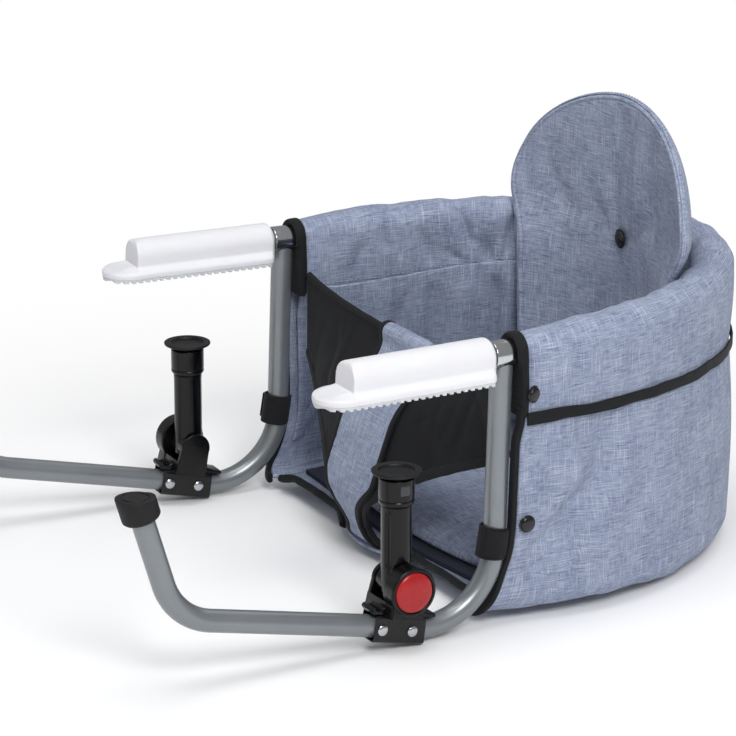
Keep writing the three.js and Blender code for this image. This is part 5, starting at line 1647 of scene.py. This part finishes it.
# %% Snaps
dome = np.linspace(0, np.pi / 2, 14)
cap_profile = np.concatenate(
    [
        [[0, 0], [6.4, 0], [7, 0.3], [7, 1.0], [6.6, 1.35], [6.1, 1.4], [5.9, 1.2]],
        np.stack([5.8 * np.cos(dome), 1.25 + 2.15 * np.sin(dome) ** 0.8], -1),
    ]
)
cap = turned(cap_profile, "x", 48)
SNAP_TURN = math.radians(22)  # the upper snap leans with the cloth behind the binding
for name, side in SIDES.items():
    for level, offset, snap_y, height, lean in (
        ("upper", 16.5, 46.5, -13.0, SNAP_TURN),
        ("lower", 12.2, 45.0, -120.0, 0.0),
    ):
        place = [ARM_HALF + offset, snap_y, height]
        snap = (rotated(cap, lean, "z") + place) * [side, 1, 1]
        snap = build(f"{name}_{level}_snap", [snap])
        dress(snap, "seat", snap_plastic, "black_snap", f"snap_{level}_{name}")
rest_snap = np.stack([cap[..., 1] * 1.1, -cap[..., 0], cap[..., 2] * 1.2], -1)
rest_snap = build("rest_snap", [rest_snap + [0, 250.1, 36]])
dress(rest_snap, "seat", snap_plastic, "black_snap", "backrest_snap")
print("snaps: 14 mm across")

# %% [markdown]
# ## Seat bottom and cushion
# The bottom is a cloth under a stiff board, and on the board lies a crowned cushion of foam
# in the same chambray, with a seam round it. The board stays hidden between them.

# %% Bottom cloth
SEAT_FRONT, BOTTOM_LEVEL = 16, -194.5
WALL_FRONT_FOOT = 16  # y where the walls' lower edge starts


def seat_front(x):
    """The front edge: forward under the crotch strip, set back along both leg holes, where
    it also curls up, and forward again to the corners. It gives y and the height it curls."""
    hole = smooth((np.abs(x) - 30) / 40) * (1 - smooth((np.abs(x) - 148) / 28))
    return SEAT_FRONT + 5.5 * hole - 13 * np.exp(-((x / 45) ** 2)), 5.0 * hole


along = np.concatenate([np.linspace(a, b, 120) for a, b in wall_spans.values()])
rim_x, rim_y = ring_plan(along, wall_profile(1, along)[0] - 0.3, WALL_FRONT_FOOT)
across = np.linspace(0, 1, 60)[1:-1]
front_x = mix(rim_x[-1], rim_x[0], across)
front = np.stack([front_x, seat_front(front_x)[0]], -1)
outline = np.concatenate([np.stack([rim_x, rim_y], -1), front])
outline = np.concatenate([outline, outline[:1]])
centre = np.array([0.0, 150.0])
inward = (1 - np.cos(np.linspace(0, np.pi / 2, 5))) * 0.012
steps = np.concatenate([1 - inward, np.linspace(0.96, 0, 34)])[:, None, None]
plan = centre + (outline - centre) * steps
thick = 1.5 * rounding((1 - steps[..., 0]) * 160, 1.6)
x, y = plan[..., 0], plan[..., 1]
ripple = 0.4 * drift(x, 60, 21) * drift(y, 75, 22) * smooth((1 - steps[..., 0]) * 12)
level = BOTTOM_LEVEL + seat_front(x)[1] * smooth((34 - y) / 16) + np.minimum(ripple, 0.2)
skins = [(points_of(x, y, level + way * thick), plan * MM) for way in (1, -1)]
bottom = build("seat_underside", skins)
dress(bottom, "seat", blue_cloth, "blue_cloth", "seat_bottom_cloth")
print("bottom:", round(float(np.ptp(outline[:, 0]))), "mm wide")

# %% [markdown]
# A foam cushion is fullest in its middle and thin at its sewn rim. A cloth simulation could
# fill it, but the crown is plain to write: 1 less the fourth power, in both directions.

# %% Cushion
CUSHION_WIDE, CUSHION_DEEP, CUSHION_MIDDLE, CUSHION_LEVEL = 173.4, 86.5, 126.5, -188.3
PIPING = 7  # how far the seam runs inside the edge
a = np.sin(np.linspace(-1, 1, 90) * np.pi / 2)[None, :]
b = np.sin(np.linspace(-1, 1, 80) * np.pi / 2)[:, None]
pull = 1 - 0.25 * (a * b) ** 2
half_width = CUSHION_WIDE * mix(1, 0.9, ((b + 1) / 2) ** 2)
x, y = half_width * a * pull, CUSHION_MIDDLE + CUSHION_DEEP * b * pull
crown = 8 + 12 * (1 - a**4) * (1 - b**4)
from_edge = np.minimum(173 * (1 - np.abs(a)), CUSHION_DEEP * (1 - np.abs(b)))
full = rounding(from_edge, PIPING)
dent = creases(x, y, scattered(31, 26, (-150, 50, 0, 20, 4, -1.3), (150, 205, 3.1, 60, 9, 0.3)))
seam = 0.9 * np.exp(-(((from_edge - PIPING) / 1.4) ** 2))
cushion_cut = points_of(x, y, 0)[..., :2] * MM
puffed = crown * (0.5 + 0.5 * full) + (dent - seam) * smooth(from_edge / 12)
top = points_of(x, y, CUSHION_LEVEL + puffed)
low = points_of(x, y, CUSHION_LEVEL + crown * 0.5 * (1 - full))
cushion = build("seat_cushion_pad", [(top, cushion_cut), (low, cushion_cut)])
dress(cushion, "seat", blue_cloth, "blue_cloth", "seat_cushion")
print("cushion:", round(float(2 * half_width.max())), "mm wide")

# %% [markdown]
# ## The backrest
# It rises from the seat through the ring to a round head: a padded front, a stiff board and a
# rear cover. The cover comes round the edge as a boxed band, sewn to the front pad with a
# double row of stitches. Rings that shrink from the outline to the middle are the best grid
# for it, because the rim then has its own rows.

# %% The backrest's outline
REST_FACE, REST_MIDDLE = 251.0, np.array([0.0, 60.0])
SHOULDER, REST_HALF, HEAD_RISE = 66.0, 139.0, 92
FOOT_HALF, WAIST_HALF, REST_FOOT = 104, 114, -188.2
side_z = np.linspace(-172, SHOULDER, 110)
round_top = np.linspace(0, np.pi / 2, 90)[1:]


def foot_half(z):
    """Half the width below the shoulder: nearly straight, then swelling into the head."""
    straight = mix(FOOT_HALF, WAIST_HALF, np.clip((z + 188) / 188, 0, 1))
    return straight + (REST_HALF - WAIST_HALF) * smooth(z / SHOULDER) ** 1.15


right_edge = np.concatenate(
    [
        np.stack([np.linspace(0, 88, 34), np.full(34, REST_FOOT)], -1),
        curve((90, REST_FOOT), (FOOT_HALF, REST_FOOT), (104.6, -174), 8),
        np.stack([foot_half(side_z), side_z], -1),
        points_of(REST_HALF * np.cos(round_top) ** 1.1, SHOULDER + HEAD_RISE * np.sin(round_top)),
    ]
)
rest_outline = np.concatenate([right_edge, right_edge[::-1][1:-1] * [-1, 1]])
rest_outline = np.concatenate([rest_outline, rest_outline[:1]])
wrapped = np.concatenate([rest_outline[-2:-1], rest_outline, rest_outline[1:2]])
run = np.gradient(wrapped, axis=0)[1:-1]
rest_out = unit(np.stack([run[:, 1], -run[:, 0]], -1))


def rest_bow(x, z):
    """How far the sides come forward: the bow at the edge times the share of half the width
    squared. The right side of the head has softened and comes forward a little less."""
    half = np.where(z < SHOULDER, foot_half(np.minimum(z, SHOULDER)), REST_HALF)
    slack = 1 - 0.22 * smooth(-x / REST_HALF) * smooth((z - 50) / 50)
    return mix(38, 31, smooth((z + 10) / 80)) * (x / half) ** 2 * slack


def rest_rows(inset, shrink, depth):
    """Rings of the outline, moved in by an inset, then shrunk towards the middle, each at a
    depth behind the curved front face."""
    inset, shrink = np.asarray(inset)[:, None, None], np.asarray(shrink)[:, None, None]
    plan = rest_outline - rest_out * inset
    plan = REST_MIDDLE + (plan - REST_MIDDLE) * shrink
    x, z = plan[..., 0], plan[..., 1]
    return points_of(x, REST_FACE - rest_bow(x, z) + depth, z), plan * MM


print("backrest:", round(float(lengths_along(rest_outline)[-1])), "mm round its edge")

# %% [markdown]
# The front pad is soft: its rim is a quarter circle, a row of stitches draws it in a little
# further on, and its face has broad soft creases. A flat lining closes it behind.

# %% Backrest pad
SEAM_IN = 1.7  # how far inside the outline the pad and the cover meet
inner = np.linspace(1, 0, 64)
rest_marks = np.array(
    [
        (-6, 112, 1.35, 36, 10, -2.6),
        (-14, 66, 1.75, 34, 9, -2.4),
        (22, 92, 1.45, 44, 9, 2.2),
        (34, 20, 1.20, 40, 12, -2.4),
        (-50, -20, 1.70, 46, 14, -2.6),
        (-64, 96, 1.50, 40, 12, 1.8),
        (0, 34, 0.20, 18, 7, -2.2),
        (70, 80, 0.90, 30, 9, -1.6),
        (-84, 60, 2.20, 30, 9, -1.8),
        (62, -80, 1.40, 50, 12, -2.4),
        (-40, -110, 1.80, 50, 12, -2.2),
    ]
)
rest_small = scattered(44, 46, (-125, -170, 0.5, 12, 3.5, -1.0), (125, 140, 2.6, 34, 9, 0.6))
edge_angle = np.linspace(0, np.pi / 2, 7)
pad_in = SEAM_IN + 2.6 * (1 - np.cos(edge_angle))
pad_in = np.concatenate([pad_in, [5.0, 5.6, 6.2, 7.0], np.full(63, 7.0)])
pad_shrink = np.concatenate([np.ones(11), inner[1:]])
front_points, front_cut = rest_rows(pad_in, pad_shrink, 0.0)
x, z = front_points[..., 0], front_points[..., 2]
quilt = creases(x, z, rest_marks) + creases(x, z, rest_small)
quilt = -quilt * smooth((1 - pad_shrink[:, None]) * 9)
rim = np.concatenate([2.6 * (1 - np.sin(edge_angle)), [0.5, 0.9, 0.5, 0.2], 0.2 * inner[1:]])
front_points[..., 1] += quilt + rim[:, None]
back_in = np.array([SEAM_IN, 2.4, 4.6, 12.0, 12.0])
back_deep = np.array([2.6, 4.2, 5.8, 7.9, 7.9])[:, None]
back_points, back_cut = rest_rows(back_in, [1, 1, 1, 1, 0], back_deep)
rest_pad = build("rest_front_pad", [(front_points, front_cut), (back_points, back_cut)], sharp=60)
dress(rest_pad, "seat", blue_cloth, "blue_cloth", "backrest_front_pad")
print("pad:", len(rest_pad.data.polygons), "faces")

# %% [markdown]
# The rear cover starts as a boxed band round the pad's edge and turns over to a flat back.
# Its lining and the board lie behind the pad, out of sight.

# %% Backrest cover and board
BOARD_IN, BOARD_FRONT, BOARD_REAR = 12.4, 8.6, 11.4
BAND_ROWS, EDGE_ROWS = 11, 15
cover_in = np.array([1.4, 0.9, 0.3, 0.0, 0.0, 0.1, 0.4, 0.9, 1.7, 2.8, 4.2, 5.8, 7.8, 9.9, 12.0])
cover_deep = np.array([2.6, 2.0, 2.2, 2.8, 3.8, 4.8, 5.7, 6.6, 7.5, 8.4, 9.4, 10.5, 11.7, 12.8, 13.6])
cover_in = np.concatenate([cover_in, np.full(40, 12.0)])
cover_shrink = np.concatenate([np.ones(EDGE_ROWS), np.linspace(1, 0, 41)[1:]])
backed = mix(13.6, 15.0, smooth((1 - cover_shrink[EDGE_ROWS:]) * 8))
cover_deep = np.concatenate([cover_deep, backed])
rear_points, rear_cut = rest_rows(cover_in, cover_shrink, cover_deep[:, None])
slack = creases(rear_points[..., 0], rear_points[..., 2], rest_small * [1, 1, 1, 1.2, 1.2, 1])
rear_points[..., 1] += slack * smooth((1 - cover_shrink[:, None]) * 9)
around = lengths_along(rest_outline)
for row in range(BAND_ROWS):
    rear_cut[row] = points_of(around, 300.0 + cover_deep[row]) * MM
lining_in = np.array([1.4, 1.6, 2.8, 5.4, 12.0, 12.0])
lining_deep = np.array([2.6, 4.6, 6.6, 8.8, 12.2, 12.2])[:, None]
lining_points, lining_cut = rest_rows(lining_in, [1, 1, 1, 1, 1, 0], lining_deep)
rest_cover = build(
    "rest_rear_cover", [(rear_points, rear_cut), (lining_points, lining_cut)], sharp=60
)
dress(rest_cover, "seat", blue_cloth, "blue_cloth", "backrest_rear_cover")

board_front, board_cut = rest_rows([BOARD_IN] * 3, [1, 0.5, 0], BOARD_FRONT)
board_rear, _ = rest_rows([BOARD_IN] * 3, [1, 0.5, 0], BOARD_REAR)
board_edge = np.stack([board_front[0], board_rear[0]])
stiffener = build("rest_board", [(board_front, board_cut), (board_rear, board_cut), board_edge])
dress(stiffener, "seat", fibre_board, "stiff_board", "backrest_board")
print("backrest:", len(rest_pad.data.polygons) + len(rest_cover.data.polygons), "faces")

# %% [markdown]
# ## The front panel
# Between the leg holes one black cloth runs from the belly edge down to the seat, and a
# chambray strip lies over its middle and rolls over its top edge. Black tape binds every
# edge. Each row of the panel is a curve that leaves the side walls and bulges forward.

# %% Belly cloth
PANEL_TOP, LEG_TOP, PANEL_LOW = -12, -76, -176  # heights: its edge, the leg holes, the foot
FULLEST = -148  # height where it stands furthest forward
PANEL_HALF, NECK = 168.0, 14
panel_z = np.concatenate(
    [np.linspace(PANEL_TOP, LEG_TOP, 34), np.linspace(LEG_TOP, PANEL_LOW, 56)[1:]]
)
panel_y = np.where(
    panel_z > FULLEST,
    mix(40, -10, (PANEL_TOP - panel_z) / (PANEL_TOP - FULLEST)),
    mix(-10, 3, (FULLEST - panel_z) / (FULLEST - PANEL_LOW)),
)
narrowing = np.clip((panel_z - PANEL_LOW) / (LEG_TOP - PANEL_LOW), 0, 1) ** 1.7
panel_half = np.where(panel_z > LEG_TOP, PANEL_HALF, mix(NECK, PANEL_HALF, narrowing))
foot = np.linspace(0, np.pi / 2, 14)[1:]
panel_y = relaxed(np.concatenate([panel_y, mix(3, 15, 1 - np.cos(foot))]), 6)
panel_z = np.concatenate([panel_z, mix(PANEL_LOW, -190.7, np.sin(foot))])
panel_half = np.concatenate([panel_half, mix(NECK, 30, foot / (np.pi / 2))])
panel_run = unit(np.gradient(np.stack([panel_y, panel_z], -1), axis=0))
rows = np.arange(len(panel_z))


def spread(x):
    """The share by which a row is drawn back to the side walls at a distance from the middle."""
    return (x / PANEL_HALF) ** 2


def panel_point(row, x, depth):
    """A point in front of the panel's middle surface: a row's own place in the middle, drawn
    back to the side walls with the square of the distance from the middle. The top edge is
    slack, so it slumps down and back in the middle."""
    y, z = np.interp(row, rows, panel_y), np.interp(row, rows, panel_z)
    slump = (1 - spread(x)) * (1 - smooth(row / 40))
    y, z = y + 13 * slump, z - 19 * slump
    run_y, run_z = np.interp(row, rows, panel_run[:, 0]), np.interp(row, rows, panel_run[:, 1])
    return points_of(x, mix(y, FRONT_EDGE, spread(x)) + run_z * depth, z - run_y * depth)


panel_rows = mix(0, rows[-1], shares(110, 200, 1.8))[:, None]
panel_across = 2 * shares(120, 336, 2.0)[None, :] - 1
width_here = np.interp(panel_rows, rows, panel_half)
x = width_here * panel_across
belly_small = scattered(61, 50, (-160, 4, -0.5, 10, 3, -1.2), (160, 70, 2.0, 40, 7, 0.8))
belly = creases(x, panel_rows, belly_small)
belly *= smooth((1 - np.abs(panel_across)) * 8)
belly_cloth = build("belly_cloth_panel", pillow(panel_point(panel_rows, x, belly), 3.4, 1.6))
dress(belly_cloth, "seat", black_cloth, "blue_cloth", "front_panel")
print("belly cloth:", round(float(lengths_along(np.stack([panel_y, panel_z], -1))[-1])), "mm long")

# %% [markdown]
# The strip starts inside, rolls over the top binding and comes down outside to the foot. It
# is a line seen from the side, softened, with a half width at each of its points.

# %% Crotch strip
STRIP_HALF, ROLL_OVER = 40.0, 7.6
roll_over = np.linspace(0, np.pi, 22)
behind = np.stack([np.linspace(59, 58.8, 12), np.linspace(-62, -34, 12)], -1)
over_top = ROLL_OVER * points_of(np.cos(roll_over), np.sin(roll_over)) + [51.4, -28.4]
down_rows = np.linspace(3, rows[-1] - 1, 100)
outside = panel_point(down_rows, 0 * down_rows, 3.6)[:, 1:]
strip_line = relaxed(np.concatenate([behind, over_top, outside]), 8)
strip_low = np.minimum(STRIP_HALF, np.interp(down_rows, rows, panel_half) - 3.0)
strip_half = relaxed(np.concatenate([np.full(len(behind) + len(over_top), STRIP_HALF), strip_low]), 8)
steps = lengths_along(strip_line)
places = shares(150, steps[-1], 1.2) * steps[-1]
line_y, line_z = (np.interp(places, steps, strip_line[:, i])[:, None] for i in (0, 1))
half_here = np.interp(places, steps, strip_half)[:, None]
strip_across = 2 * shares(36, 70, 1.2)[None, :] - 1
x = half_here * strip_across
strip_small = scattered(71, 34, (-38, 30, -0.6, 8, 2.5, -1.3), (38, 280, 0.8, 26, 6, 0.9))
wrinkle = creases(x, places[:, None], strip_small)
middle = points_of(x, mix(line_y, FRONT_EDGE, spread(x)) - wrinkle * 0.7, line_z)
crotch_strip = build("crotch_strip", pillow(middle, 2.4, 1.2))
dress(crotch_strip, "seat", blue_cloth, "blue_cloth")
print("strip:", round(float(steps[-1])), "mm long")

# %% [markdown]
# Every raw edge is bound with a folded tape. It is one section swept along the edge, and its
# thickness wanders a little, because a tape that is sewn on never lies quite even.

# %% Bindings of the front


def tape_along(path, up, width, thickness, radius, wobble, seed):
    """A folded tape swept along an edge, its ends closed: width along the cloth's surface."""
    section = lozenge(width, thickness, radius)
    grow = 1 + wobble * drift(lengths_along(path), 31, seed)
    return ended(sweep(path, section[None] * grow[:, None, None], up))


strip_edges = []
for side in (1, -1):
    edge_y = mix(strip_line[:, 0], FRONT_EDGE, spread(strip_half))
    edge = points_of(side * (strip_half - 0.5), edge_y, strip_line[:, 1])
    face = np.cross(np.gradient(edge, axis=0), [1.0, 0, 0])
    strip_edges.append(tape_along(edge, face, 6.0, 4.0, 1.6, 0.05, 81))
strip_binding = build("strip_edge_binding", strip_edges)
dress(strip_binding, "seat", black_tape, "black_tape")

edge_x = np.linspace(-1, 1, 120) * (PANEL_HALF - 2)
top_line = panel_point(0 * edge_x, edge_x, 0.0) + [0, 0, 1.4]
top_tape = tape_along(top_line, np.array([0.0, 1.0, 0.35]), 7.0, 5.2, 2.2, 0.05, 82)
top_binding = build("belly_top_binding", [top_tape])
dress(top_binding, "seat", black_tape, "black_tape", "front_panel_top_binding")

hole_rows = np.linspace(34, rows[-1], 110)
half = relaxed(np.interp(hole_rows, rows, panel_half), 5)
for name, side in SIDES.items():
    path = panel_point(hole_rows, side * (half + 1.0), 0.0)
    inside_path = panel_point(hole_rows, side * (half - 5.0), 0.0)
    face = np.cross(np.gradient(path, axis=0), path - inside_path)
    binding = build(f"{name}_leg_hole_binding", [tape_along(path, face, 8.2, 5.4, 2.3, 0.06, 83)])
    dress(binding, "seat", black_tape, "black_tape", f"leg_binding_{name}")

    x = np.linspace(38.8, 169.7, 70)
    y, lift = seat_front(x)
    path = points_of(side * x, y - 1.4, -192.2 + lift + 0.5 * drift(x, 80, 84))
    seat_tape = tape_along(path, np.array([0, 0.55, 1.0]), 7.6, 6.2, 2.4, 0.06, 85)
    seat_edge = build(f"{name}_seat_edge_binding", [seat_tape])
    dress(seat_edge, "seat", black_tape, "black_tape", f"seat_front_binding_{name}")
print("leg holes:", round(float(lengths_along(path)[-1])), "mm along the seat's edge")

# %% [markdown]
# ## Stitches
# Rows of small stitches show on the backrest's face and band, above the walls' bottom edge
# and along the rail's inner seam. Each stitch is a tiny capsule, laid on the cloth.

# %% Stitches


def stitch_row(name, path, pitch=4.4, share=0.62, radius=0.42):
    """Capsules along a path: every one is a six-sided ring of points round a short piece of
    the path, thick in the middle and pointed at both ends."""
    length = lengths_along(path)
    starts = np.arange(pitch / 2, length[-1] - pitch, pitch)[:, None]
    at = starts + np.linspace(0, pitch * share, 5)[None, :]
    line = np.stack([np.interp(at, length, path[:, i]) for i in range(3)], -1)
    run = unit(line[:, -1:] - line[:, :1])
    first = unit(np.cross(run, [0.31, 0.52, 0.79]))
    second = np.cross(run, first)
    angle = np.linspace(0, 2 * np.pi, 7)
    swell = radius * np.array([0, 0.8, 1, 0.8, 0])[None, :, None, None]
    rings = line[:, :, None] + swell * (
        np.cos(angle)[None, None, :, None] * first[:, :, None]
        + np.sin(angle)[None, None, :, None] * second[:, :, None]
    )
    row = build(name, list(rings))
    return dress(row, "seat", sewing_thread, "blue_cloth")


for name, inset, depth in (("band_front", -0.12, 3.4), ("band_rear", -0.12, 5.2), ("face", 5.4, 0.5)):
    line, _ = rest_rows([inset], [1.0], depth)
    stitch_row(f"rest_{name}_stitches", line[0][30:-30])
for name in ring_seams:
    stitch_row(f"{name}_inner_hem_stitches", inner_stitches[name])
for name, (start, end) in wall_spans.items():
    along = np.linspace(start + 0.006, end - 0.006, 220)
    line = in_wall((WALL_HEM - 2) / WALL_LENGTH + 0 * along, along, -0.1)
    line[:, 2] += 1.1 * drift(along * RING_LENGTH, 96, 2)
    stitch_row(f"{name}_wall_stitches", line)

# %% [markdown]
# ## What stays plain CAD
# The seat's board, the hinge pins and the button springs are hidden inside. They keep their
# own meshes and only get a finish. The front panel's pieces each get a mesh of their own.

# %% Hidden pieces, the front panel's own meshes and the end
hidden = {"seat_board": board_sleeve}
for name in SIDES:
    hidden[f"hinge_pin_{name}"] = zinc_steel
    hidden[f"button_spring_{name}"] = zinc_steel
for node, finish in hidden.items():
    bpy.data.objects[node].data.materials.clear()
    bpy.data.objects[node].data.materials.append(finish)

folding = [belly_cloth, crotch_strip, strip_binding, top_binding]
folding += [bpy.data.objects[f"{name}_leg_hole_binding"] for name in SIDES]
for piece in folding:
    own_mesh(piece)

boxes = {"cad": cad_box, "scene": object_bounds()}
{key: [list(corner) for corner in box] for key, box in boxes.items()}
print({key: [[round(v, 4) for v in corner] for corner in box] for key, box in boxes.items()})
